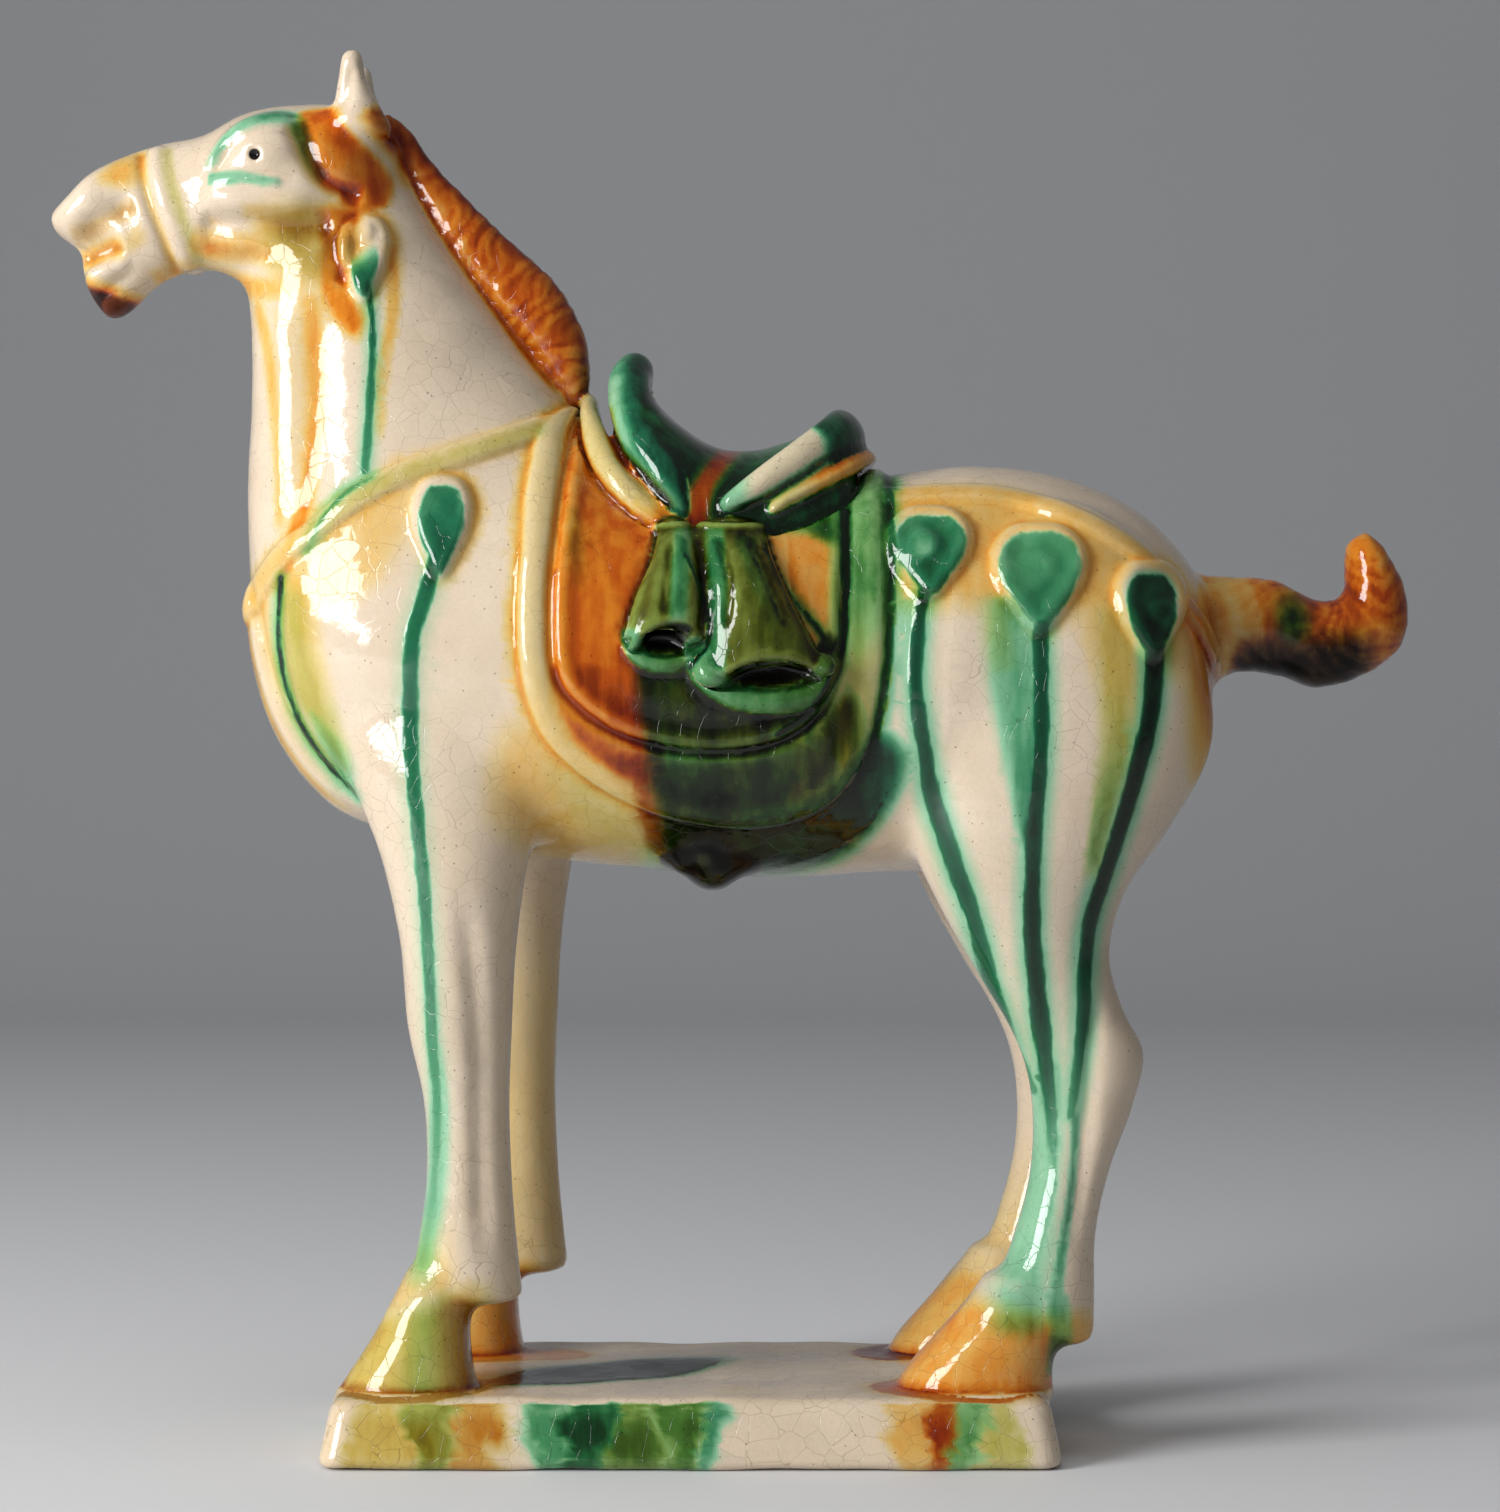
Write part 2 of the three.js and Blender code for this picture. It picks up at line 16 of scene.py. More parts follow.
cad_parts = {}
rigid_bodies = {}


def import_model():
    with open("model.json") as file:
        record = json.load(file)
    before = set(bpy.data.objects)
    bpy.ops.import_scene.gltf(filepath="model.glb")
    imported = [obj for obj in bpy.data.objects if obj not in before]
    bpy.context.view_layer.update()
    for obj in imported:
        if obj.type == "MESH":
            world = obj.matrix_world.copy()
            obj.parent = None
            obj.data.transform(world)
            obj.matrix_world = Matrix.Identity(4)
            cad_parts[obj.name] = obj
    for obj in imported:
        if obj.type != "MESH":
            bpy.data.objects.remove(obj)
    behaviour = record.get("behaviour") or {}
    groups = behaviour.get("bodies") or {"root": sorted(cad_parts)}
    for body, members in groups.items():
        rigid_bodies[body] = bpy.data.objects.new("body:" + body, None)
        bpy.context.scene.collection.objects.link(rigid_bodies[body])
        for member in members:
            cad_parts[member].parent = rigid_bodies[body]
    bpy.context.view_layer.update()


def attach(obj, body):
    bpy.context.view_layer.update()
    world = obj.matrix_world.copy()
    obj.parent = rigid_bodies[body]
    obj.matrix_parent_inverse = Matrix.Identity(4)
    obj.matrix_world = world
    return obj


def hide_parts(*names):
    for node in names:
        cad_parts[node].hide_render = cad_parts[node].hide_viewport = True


bl_info = {
    "name": "Glazed Pottery Horse",
    "version": (1, 0, 0),
    "blender": (4, 5, 0),
    "location": "View3D > Sidebar > Pottery Horse",
    "description": "Builds a saddled pottery horse with running three-colour glaze, and its stage",
    "category": "Add Mesh",
}

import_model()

MM = 0.001
NODE = "tomb_horse"
SLOT = "sancai_glaze"
PIECE = "glazed_horse"
SIDES = (-1, 1)
SADDLE_PARTS = ("seat", "pommel", "cantle", "rolls")
PARTS = (*SADDLE_PARTS, "folds", "mane", "tail")

# Real sizes, in millimetres
PLINTH_LENGTH = 129
PLINTH_WIDTH = 72
PLINTH_HEIGHT = 12
PLINTH_TAPER = 2.8
PLINTH_ROUNDING = 2.4
PLINTH_CORNER = 4
HOOF_FOOT = PLINTH_HEIGHT - 2
GLAZE_THICKNESS = 0.2
PUPIL_DEPTH = 1.3

# Marks and relief reach no further than this from their lines, and a piece is looked for this close by
REACH = 14
SEARCH = 3.0

# Rings that close each end of a form, steps round a leaf and along a mane, and how fast creases fill
CAP_RINGS = 6
LEAF_STEPS = 40
HAIR_STEPS = 80
CREASE_FILL = 0.9

# How strongly the thinning of the mesh prefers even facets to few of them
EVENNESS = 1e-5


def section(low, high, half, square=2.0, taper=0.0):
    """One section of a form: two opposite edges, half its thickness, how square it is and how much
    narrower it is at the high edge. An edge without a Y lies in the middle plane."""
    ends = [point if len(point) == 3 else (point[0], 0, point[1]) for point in (low, high)]
    return [*ends[0], *ends[1], half, square, taper]


# Each form is a list of sections, written as section() takes them.
# Trunk and neck in one sweep, from the rump along the belly and chest up to the poll
TRUNK = [
    ((93.5, 134), (92.5, 151), 9),
    ((90, 119), (87.5, 158.8), 21.5),
    ((80, 106), (79, 166.8), 28.5),
    ((66, 101), (66, 172.4), 32),
    ((50, 101.5), (51, 174.4), 33, 2.1),
    ((34, 101.5), (37, 173), 33, 2.2),
    ((15, 100.5), (18, 170), 33.8, 2.3),
    ((-8, 102), (-3, 170), 34, 2.3),
    ((-31, 104.5), (-15, 175), 33.5, 2.2),
    ((-52, 107.5), (-19, 180.5), 32.5, 2.1),
    ((-65.5, 115), (-22.5, 185.5), 31, 2, 0.08),
    ((-74, 126), (-26.5, 191), 28.5, 2, 0.16),
    ((-78.3, 139.5), (-31.5, 197), 25, 2.1, 0.22),
    ((-79.4, 155), (-37, 204), 21, 2.3, 0.2),
    ((-79.8, 170), (-42.5, 211.5), 18, 2.4, 0.18),
    ((-79.2, 185), (-47.5, 219), 15.5, 2.4, 0.14),
    ((-79.4, 200), (-51.5, 226), 13.5, 2.3, 0.12),
    ((-81, 211), (-55, 233), 11),
]

HEAD = [
    ((-58, 211), (-50, 230), 8),
    ((-63.5, 206), (-60, 238.4), 13, 2.1, -0.06),
    ((-72, 205.3), (-71, 239.2), 14.2, 2.2, -0.1),
    ((-80, 207.3), (-80.5, 237.6), 13.8, 2.2, -0.06),
    ((-87, 209.8), (-88, 233.8), 11.6, 2.1),
    ((-94, 209.3), (-95, 232.4), 10),
    ((-100, 209.6), (-101.8, 230.2), 9.8, 2.1),
    ((-106, 212.6), (-107.6, 227.2), 9.8, 2.2, -0.1),
    ((-111.4, 214), (-112.4, 222.6), 8, 2.1, -0.1),
    ((-115, 216.6), (-115.6, 219.4), 4.4),
]

JAW = [
    ((-88, 210.5), (-91, 219), 6.5),
    ((-96, 207.2), (-99, 218), 7.4),
    ((-102, 201.8), (-107.5, 215.5), 7.2),
    ((-106, 200.2), (-111, 211), 5.6),
]

EAR = [
    ((-65.6, 233), (-52, 232), 5),
    ((-63.8, 238.6), (-56, 238.6), 3.8),
    ((-62.9, 243.6), (-58.2, 243.4), 2.9),
    ((-62.3, 248), (-58.6, 248), 2.1),
]

FORELEG = [
    ((-54, 150), (-36, 148), 4),
    ((-61, 137), (-26, 135), 8),
    ((-59.5, 119), (-25, 117), 10.6),
    ((-54.4, 105), (-28.5, 104), 10.6),
    ((-51, 90), (-30.6, 89), 9.6),
    ((-49.6, 75), (-31.4, 74), 8.8),
    ((-46.8, 62), (-31.8, 61), 7.8),
    ((-46.4, 48), (-31.3, 47), 7.5),
    ((-47.8, 37.5), (-30.4, 36.5), 8),
    ((-49.5, 27), (-29.2, 26), 8),
]

FORE_HOOF = [
    ((-49, 34), (-38, 32), 7),
    ((-51.5, 29), (-38.5, 28), 8.4),
    ((-56, 20.5), (-38.6, 20), 9.8, 2.3),
    ((-60, 14.5), (-37.8, 14), 10.6, 2.4),
    ((-62.6, HOOF_FOOT), (-37, HOOF_FOOT), 10.9, 2.4),
]

HIND_LEG = [
    ((57, 168), (74, 166), 5),
    ((42.5, 148), (87, 147), 12.5),
    ((37.5, 125), (91, 125), 15),
    ((38, 108.5), (83, 109), 13.6),
    ((42.8, 97), (76, 99), 11.4),
    ((49.6, 85), (73, 88), 9.4),
    ((55.6, 75), (75.4, 78), 8.2),
    ((58.6, 67), (79, 70.5), 7.9),
    ((59.6, 57.5), (77.2, 61.5), 7.4),
    ((58.8, 48), (73, 50), 7),
    ((56.2, 38.5), (70.6, 39), 7.4),
    ((53.5, 30), (70.4, 29), 8.2),
    ((53.5, 22), (70.2, 18), 7.6),
]

HIND_HOOF = [
    ((52, 33), (64, 33), 7.4),
    ((48.5, 28), (64, 27), 8.8),
    ((42, 20.5), (63.5, 20.5), 10.2, 2.3),
    ((37.2, 15), (63, 15), 10.9, 2.4),
    ((34.4, HOOF_FOOT), (63.2, HOOF_FOOT), 11.2, 2.4),
]

# The mane from between the ears to the withers: root in the neck, and the upper line
MANE = [
    ((-59, 235.4), (-56.2, 238.4), 1.4),
    ((-54.8, 231), (-51.6, 235.6), 2.2),
    ((-51.4, 225.4), (-47.4, 229.6), 3),
    ((-46.4, 215.4), (-40.6, 222.4), 4.2),
    ((-39.2, 204.8), (-32.2, 214.2), 5.2),
    ((-31.2, 195.4), (-24.6, 207.2), 6),
    ((-25.4, 187), (-19.6, 198), 5.4),
    ((-22, 182), (-18.2, 188), 4),
]

TAIL = [
    ((88, 131), (88, 155), 8),
    ((97.3, 137.2), (98.4, 154.5), 8.2),
    ((105, 136.8), (104.8, 153.8), 8),
    ((112.2, 134.6), (111.4, 150.6), 7.6),
    ((122, 137.6), (115.2, 150.4), 7.2),
    ((127.6, 142.8), (117, 152), 6.8),
    ((128.2, 151.5), (117.2, 156.6), 6.2),
    ((125, 158.4), (117.6, 160), 5),
    ((122, 162.6), (119.6, 162.6), 2.6),
]

SEAT = [
    ((-15.5, 152), (-15, 184.5), 17, 2.2),
    ((-10, 150), (-9.6, 187.8), 21.6, 2.9),
    ((-3.4, 148), (-3.6, 182.4), 24.6, 2.9),
    ((4, 147), (4, 177.6), 25.6, 2.3),
    ((11, 147), (11, 177.2), 26),
    ((19, 149), (19, 179.4), 24.5),
    ((26, 152), (26, 181), 21),
    ((30, 156), (29.5, 178), 16),
]

POMMEL = [
    ((-2.6, -25, 163.4), (-0.4, -25, 163.6), 1.4),
    ((-8, -23.5, 171), (-1.6, -23.6, 171.4), 2.8),
    ((-12.8, -19, 178), (-5.4, -19.5, 177.5), 3.2),
    ((-14.8, -13, 184.5), (-7.4, -13.5, 183.4), 3.4),
    ((-15, -6.5, 189.5), (-7.6, -6.5, 188.6), 3.5),
    ((-14, 0, 192), (-7.2, 0, 190.6), 3.6),
]

CANTLE = [
    ((4.5, -26, 166.5), (6, -26.4, 164), 1.6),
    ((10.5, -24.8, 171.5), (13.5, -25.2, 167.5), 2.6),
    ((17.2, -21, 176.8), (21.4, -21.5, 171.4), 3),
    ((22.4, -15, 181.2), (27, -15.5, 174.4), 3.3),
    ((24.6, -7.5, 183.6), (29.2, -8, 175.4), 3.4),
    ((25, 0, 184), (29.4, 0, 176), 3.4),
]

FRONT_ROLL = [
    ((-4.6, -25.6, 160.6), (-2.4, -25.6, 162.8), 1.4),
    ((-9.6, -24.4, 163.6), (-6.4, -24.2, 166.8), 2.1),
    ((-15.1, -22, 169), (-11.6, -21.5, 172.4), 2.5),
    ((-18.6, -17, 175.2), (-14.4, -16.5, 178), 2.5),
    ((-19.8, -10, 181.5), (-16.6, -10, 182.8), 2.2),
    ((-20, 0, 185), (-17, 0, 185.5), 2.2),
]

REAR_ROLL = [
    ((12.6, -26, 163.6), (13.8, -26, 166.6), 1.7),
    ((19.5, -23.5, 167.5), (20.8, -23.5, 170.5), 1.8),
    ((26, -18.5, 171.4), (27.6, -18.5, 174.2), 1.9),
    ((29.6, -10, 174), (31, -10, 176.4), 1.9),
    ((30.4, 0, 174.6), (31.8, 0, 177), 1.9),
]

FRONT_FOLD = [
    ((-5.6, -25.5, 163), (-0.6, -25.5, 163), 1.8),
    ((-6.6, -31, 156.5), (1.4, -31, 156.5), 2.7),
    ((-9.4, -34.4, 149.5), (2.6, -34.4, 149.5), 3.4),
    ((-11.8, -36, 141.6), (2, -36, 141), 4),
]

REAR_FOLD = [
    ((0, -25.5, 163), (12.4, -25.5, 163), 2),
    ((2.6, -32.4, 154), (14.8, -32, 154.5), 3.1),
    ((3.2, -35.4, 144), (19, -35, 145.5), 3.9),
    ((2.2, -36.4, 135), (24, -35.6, 136.5), 4.4),
]

# Side outlines and lines, as X and Z
BLANKET_EDGE = [
    (-25.5, 182), (-28.4, 172), (-29.2, 158), (-29.8, 145), (-28.6, 134), (-24.5, 124.5), (-15, 116.5),
    (-3, 111.5), (10, 110), (22, 113), (29.5, 121), (32.6, 133), (33.6, 148), (33.6, 163), (33, 180),
    (4, 195),
]
BLANKET_GROOVE = [
    (-20, 184), (-22.1, 174), (-23.1, 163), (-24.1, 148.6), (-23.1, 136), (-19.8, 131.2), (-12.1, 126),
    (1.6, 123), (15.3, 124.7), (22.6, 129.9), (26, 140.5), (26.7, 151.7), (27.2, 166), (27, 182), (4, 195),
]
COLLAR_LINE = [
    (-23.5, 180.9), (-37.6, 175.6), (-50, 171.2), (-60, 165.8), (-66, 161.4), (-71.6, 157), (-77.5, 150),
    (-86, 140),
]
CRUPPER_LINE = [
    (30, 167), (45.9, 168.2), (55.9, 167.4), (66, 164), (79.2, 156), (86, 148.6), (98, 133),
]


class HorseSizes(bpy.types.PropertyGroup):
    """Sizes of the horse that a maker would change."""

    hoof_spread: bpy.props.FloatProperty(
        name="Hoof Spread", description="From the middle plane to the middle of a hoof",
        default=20 * MM, unit="LENGTH")
    foreleg_set_back: bpy.props.FloatProperty(
        name="Far Foreleg Set Back", description="How much further back the right foreleg stands",
        default=6 * MM, unit="LENGTH")
    ear_spread: bpy.props.FloatProperty(
        name="Ear Spread", description="From the middle plane to the middle of an ear",
        default=8.5 * MM, unit="LENGTH")
    eye_spread: bpy.props.FloatProperty(
        name="Eye Spread", description="From the middle plane to the middle of an eyeball",
        default=9.5 * MM, unit="LENGTH")
    clay_grain: bpy.props.FloatProperty(
        name="Clay Grain", description="Size of the smallest facet that the joined clay is laid out in",
        default=0.62 * MM, unit="LENGTH")
    most_triangles: bpy.props.IntProperty(
        name="Most Triangles", description="The finished skin is thinned to this many triangles",
        default=194000)
    strap_lift: bpy.props.FloatProperty(
        name="Strap Height", description="How far the straps stand out of the body",
        default=1.1 * MM, unit="LENGTH")
    pendant_lift: bpy.props.FloatProperty(
        name="Pendant Height", description="How far the leaf pendants stand out of the body",
        default=2.0 * MM, unit="LENGTH")
    crackle_size: bpy.props.FloatProperty(
        name="Crackle Size", description="Width of one cell of the crazed glaze",
        default=3.9 * MM, unit="LENGTH")


class GlazeColours(bpy.types.PropertyGroup):
    """Colours of the clay and the glazes."""

    clay: bpy.props.FloatVectorProperty(
        name="Clay", description="Pale body under the clear glaze", subtype="COLOR", size=4,
        min=0, max=1, default=(0.60, 0.492, 0.372, 1))
    speck: bpy.props.FloatVectorProperty(
        name="Specks", description="Iron specks in the clay", subtype="COLOR", size=4,
        min=0, max=1, default=(0.10, 0.055, 0.03, 1))


class StageSettings(bpy.types.PropertyGroup):
    """The floor, the lights and the camera."""

    camera_distance: bpy.props.FloatProperty(
        name="Camera Distance", description="From the camera to the horse's middle plane",
        default=0.69, unit="LENGTH")
    camera_height: bpy.props.FloatProperty(
        name="Camera Height", description="Height of the level camera above the floor",
        default=0.1223, unit="LENGTH")
    camera_along: bpy.props.FloatProperty(
        name="Camera Along", description="Where along the horse the camera stands",
        default=0.0102, unit="LENGTH")
    pixel: bpy.props.FloatProperty(
        name="Pixel", description="Width of one pixel of the full frame at the middle plane",
        default=0.00018, unit="LENGTH", precision=5)
    floor_colour: bpy.props.FloatVectorProperty(
        name="Floor Colour", description="Pale floor and backdrop", subtype="COLOR", size=4,
        min=0, max=1, default=(0.66, 0.66, 0.67, 1))


# Curves and forms

def spline(points, shares, closed=False):
    """Points on a smooth centripetal curve through the given ones, at shares of the way along."""
    points = np.asarray(points, float)
    spans = len(points) if closed else len(points) - 1
    place = np.clip(np.asarray(shares, float), 0, 1) * spans
    first = np.minimum(place.astype(int), spans - 1)
    step = (place - first)[:, None]
    if closed:
        knots = np.concatenate([points[-1:], points, points[:2]])
    else:
        knots = np.concatenate([2 * points[:1] - points[1:2], points, 2 * points[-1:] - points[-2:-1]])
    a, b, c, d = (knots[first + ahead] for ahead in range(4))
    before, across, after = (np.maximum(np.sum((q - p) ** 2, axis=1, keepdims=True) ** 0.25, 1e-4)
                             for p, q in ((a, b), (b, c), (c, d)))
    leave = ((b - a) / before - (c - a) / (before + across) + (c - b) / across) * across
    reach = ((c - b) / across - (d - b) / (across + after) + (d - c) / after) * across
    return (b + leave * step + (3 * (c - b) - 2 * leave - reach) * step ** 2
            + (2 * (b - c) + leave + reach) * step ** 3)


def curve(points, count=48, closed=False):
    """A smooth line through a few points, as short straight steps."""
    return spline(points, np.linspace(0, 1, count + 1), closed)


def fade(value, start, end):
    """A smooth rise from 0 at start to 1 at end."""
    share = np.clip((value - start) / (end - start), 0, 1)
    return share * share * (3 - 2 * share)


def fall(value, start, end):
    """A smooth fall from 1 at start to 0 at end."""
    return 1 - fade(value, start, end)


def hill(value, middle, width):
    """1 in the middle, sinking softly to both sides of it."""
    return np.exp(-((value - middle) / width) ** 2)


def arched(half):
    """The sections of an arch over the back: the given half, and its mirror image."""
    return half + on_side(half[:-1], 1)[::-1]


def on_side(sections, side):
    """Sections made for the left side, on either side."""
    return [(*((x, -side * y, z) for x, y, z in (low, high)), *shape) for low, high, *shape in sections]


def ring_rows(count, caps):
    """Where along a form its rings lie and how large each is: the two ends close."""
    turns = np.arange(CAP_RINGS) / CAP_RINGS * math.pi / 2
    first = [(caps[0] * (1 - math.cos(turn)), math.sin(turn)) for turn in turns]
    last = [(1 - caps[1] * (1 - math.cos(turn)), math.sin(turn)) for turn in turns[::-1]]
    middle = [(caps[0] + (1 - sum(caps)) * ring / count, 1.0) for ring in range(count + 1)]
    return np.array(first + middle + last)


def select_only(*pieces):
    """Selects these objects and no other, the first one active."""
    bpy.ops.object.select_all(action="DESELECT")
    for piece in pieces:
        piece.select_set(True)
    bpy.context.view_layer.objects.active = pieces[0]


def form(name, sections, rings, around, caps, place=(0, 0, 0)):
    """A closed form through sections, shaped from a sphere whose rings are laid on the sections. The
    caps are the shares of its length that close its two ends."""
    table = np.array([section(*row) for row in sections], float)
    rows = ring_rows(rings, caps)
    low, high, shape = (spline(table[:, columns], rows[:, 0])
                        for columns in (slice(0, 3), slice(3, 6), slice(6, 9)))
    middle = (low + high) / 2
    ahead, behind = (sum(spline(table[:, columns], rows[:, 0] + shift)
                         for columns in (slice(0, 3), slice(3, 6))) for shift in (0.01, -0.01))
    rise = high - low
    tall = np.linalg.norm(rise, axis=1, keepdims=True) / 2
    rise = rise / (2 * tall)
    across = np.cross(rise, ahead - behind)
    across /= np.linalg.norm(across, axis=1, keepdims=True)
    bpy.ops.mesh.primitive_uv_sphere_add(segments=around, ring_count=len(rows) - 1, radius=1)
    piece = bpy.context.active_object
    piece.name = name
    sphere = np.array([vertex.co for vertex in piece.data.vertices])
    ring = np.rint((0.5 - np.arcsin(np.clip(sphere[:, 2], -1, 1)) / math.pi) * (len(rows) - 1)).astype(int)
    turn = np.arctan2(sphere[:, 1], sphere[:, 0])
    square, taper = shape[ring, 1], shape[ring, 2]
    up = np.sign(np.sin(turn)) * np.abs(np.sin(turn)) ** (2 / square)
    out = np.sign(np.cos(turn)) * np.abs(np.cos(turn)) ** (2 / square) * (1 - taper * up)
    size = rows[ring, 1]
    points = middle[ring] + rise[ring] * (up * size)[:, None] * tall[ring]
    points += across[ring] * (out * size * shape[ring, 0])[:, None]
    piece.data.vertices.foreach_set("co", ((points + np.array(place)) * MM).astype(np.float32).ravel())
    turn_faces_out(piece)
    return piece


def ball(name, place, radii, tilt=0.0):
    """An ellipsoid, turned about Y."""
    bpy.ops.mesh.primitive_uv_sphere_add(
        segments=32, ring_count=20, radius=1, location=[value * MM for value in place],
        rotation=(0, math.radians(tilt), 0), scale=[value * MM for value in radii])
    piece = bpy.context.active_object
    piece.name = name
    bpy.ops.object.transform_apply(location=True, rotation=True, scale=True)
    return piece


def turn_faces_out(piece):
    """Turns the faces of a closed mesh outwards."""
    select_only(piece)
    bpy.ops.object.mode_set(mode="EDIT")
    bpy.ops.mesh.select_all(action="SELECT")
    bpy.ops.mesh.normals_make_consistent(inside=False)
    bpy.ops.object.mode_set(mode="OBJECT")


def apply_modifier(piece, kind, **settings):
    """Adds one modifier to a piece and applies it."""
    select_only(piece)
    modifier = piece.modifiers.new(kind.title(), kind)
    for name, value in settings.items():
        setattr(modifier, name, value)
    bpy.ops.object.modifier_apply(modifier=modifier.name)


def weld(name, pieces, grain):
    """Joins closed pieces and lays one skin over them all."""
    select_only(*pieces)
    bpy.ops.object.join()
    piece = bpy.context.active_object
    piece.name = name
    apply_modifier(piece, "REMESH", mode="VOXEL", voxel_size=grain, use_smooth_shade=True)
    return piece


# The skin of a piece, worked on as arrays in millimetres

class Skin:
    """The points of one mesh in millimetres, with what is needed to smooth and raise them."""

    def __init__(self, piece):
        self.mesh = piece.data
        count = len(self.mesh.vertices)
        flat = np.zeros(count * 3, np.float32)
        self.mesh.vertices.foreach_get("co", flat)
        self.points = flat.reshape(-1, 3).astype(float) / MM
        ends = np.zeros(len(self.mesh.edges) * 2, np.int32)
        self.mesh.edges.foreach_get("vertices", ends)
        self.ends = ends.reshape(-1, 2)
        self.count = np.maximum(np.bincount(ends, minlength=count), 1)

    def write(self):
        """Puts the points back into the mesh."""
        self.mesh.vertices.foreach_set("co", (self.points * MM).astype(np.float32).ravel())
        self.mesh.update()

    def normals(self):
        """The direction in which the skin faces at each point."""
        self.write()
        flat = np.zeros(len(self.points) * 3, np.float32)
        self.mesh.vertex_normals.foreach_get("vector", flat)
        return flat.reshape(-1, 3).astype(float)

    def average(self, values):
        """The mean of each point's neighbours."""
        first, last = self.ends[:, 0], self.ends[:, 1]
        size = len(self.count)
        columns = [np.bincount(first, column[last], size) + np.bincount(last, column[first], size)
                   for column in np.atleast_2d(values.T)]
        return (np.array(columns) / self.count).T.reshape(values.shape)

    def smooth(self, steps, strength):
        """Evens the skin out, keeping its volume."""
        for step in range(steps):
            for push in (strength, -1.02 * strength):
                self.points += push * (self.average(self.points) - self.points)

    def fill_creases(self, steps, weight):
        """Fills hollow creases only, as thick glaze does, and leaves ridges as they are."""
        for step in range(steps):
            if step % 4 == 0:
                normals = self.normals()
            pull = np.sum((self.average(self.points) - self.points) * normals, axis=1)
            self.points += (CREASE_FILL * weight * np.clip(pull, 0, None))[:, None] * normals

    def hollowness(self, steps):
        """How far each point lies below the mean skin around it, in millimetres."""
        mean = self.points.copy()
        for step in range(steps):
            mean = self.average(mean)
        return np.sum((mean - self.points) * self.normals(), axis=1)


def step_distance(flat, line):
    """The distance of points from a line of short steps, and the share of the way along it. Points
    further off than REACH only get that distance."""
    nearest = np.full(len(flat), float(REACH))
    along = np.zeros(len(flat))
    close = np.all((flat > line.min(axis=0) - REACH) & (flat < line.max(axis=0) + REACH), axis=1)
    near_points = flat[close]
    gap_here = np.full(len(near_points), float(REACH))
    along_here = np.zeros(len(near_points))
    steps = len(line) - 1
    for step in range(steps):
        start, edge = line[step], line[step + 1] - line[step]
        offset = near_points - start
        share = np.clip(offset @ edge / max(edge @ edge, 1e-12), 0, 1)
        gap = np.hypot(offset[:, 0] - share * edge[0], offset[:, 1] - share * edge[1])
        nearer = gap < gap_here
        gap_here[nearer] = gap[nearer]
        along_here[nearer] = (step + share[nearer]) / steps
    nearest[close] = gap_here
    along[close] = along_here
    return nearest, along


def line_distance(flat, corners, count=48):
    """The distance of points from a smooth line through a few corners, and the share of the way along."""
    return step_distance(flat, curve(corners, count))


def outline_distance(flat, corners, count=90):
    """The distance of points from a smooth closed outline through a few corners, below zero inside it."""
    outline = curve(corners, count, closed=True)
    outline[-1] = outline[0]
    gap, along = step_distance(flat, outline)
    x, z = flat.T
    inside = np.zeros(len(flat), bool)
    for (x1, z1), (x2, z2) in zip(outline[:-1], outline[1:]):
        if z1 != z2:
            crosses = ((z1 > z) != (z2 > z))
            inside ^= crosses & (x < (x2 - x1) * (z - z1) / (z2 - z1) + x1)
    return np.where(inside, -gap, gap)


def flat_band(gap, width, soft):
    """1 on a band of this width along a line, falling to 0 over a soft edge."""
    return fall(gap, width / 2 - soft / 2, width / 2 + soft / 2)


def bead(gap, width):
    """A round-backed ridge of this width along a line."""
    return np.sqrt(np.clip(1 - (2 * gap / width) ** 2, 0, 1))


# The face, as X and Z on either side
EYE = (-75.4, 228.8)
PUPIL = (-77.1, 228.3)
UPPER_LID = [(-86, 226), (-83.2, 230.6), (-79.6, 233.7), (-75.5, 235.3), (-69.9, 234.8)]
LOWER_LID = [(-86, 224.2), (-82.2, 224.2), (-79.3, 224.4), (-75.7, 223.6), (-71.7, 223.4)]
BEHIND_EYE = [(-70.4, 235.2), (-68.6, 231), (-67, 227), (-64.6, 223.8), (-61, 222), (-58, 221)]
POLL = [
    (-69.8, 236.4), (-63, 237), (-61.2, 233.5), (-57.9, 230.2), (-53.6, 225.1), (-54.6, 219.6), (-60, 220.8),
    (-65.8, 224.2), (-68.2, 230.2),
]
CHEEK_RIDGE = [(-89, 221.6), (-82, 220.8), (-72, 220.6), (-63, 219.6)]
CHEEK_GROOVE = [(-88, 216.6), (-80, 216), (-70, 215.8), (-63, 216.4)]
NOSEBAND = [(-98.9, 231), (-97.3, 223.8), (-96, 219.4), (-94.3, 214.6), (-92.3, 208)]
NOSTRIL = [(-111.4, 215), (-107.4, 215.8), (-103.8, 217.4), (-100.6, 219.4), (-98, 220.6)]
MOUTH = [(-113, 210.4), (-108.3, 211.4), (-104.4, 212.6), (-100.6, 213)]
UPPER_LIP = [(-112, 213), (-108, 213.6), (-103.6, 214.8), (-99.6, 215.8)]
LOWER_LIP = [(-110, 207.4), (-106.6, 208.6), (-102.8, 209.8), (-99.4, 210.4)]
LIP_FOLD = [(-108.6, 203.4), (-105.2, 204.6), (-101.8, 207.2), (-98.4, 209.4)]
JAW_LINE = [(-62.4, 205), (-60, 209), (-59.2, 213.6), (-59.6, 218.4)]

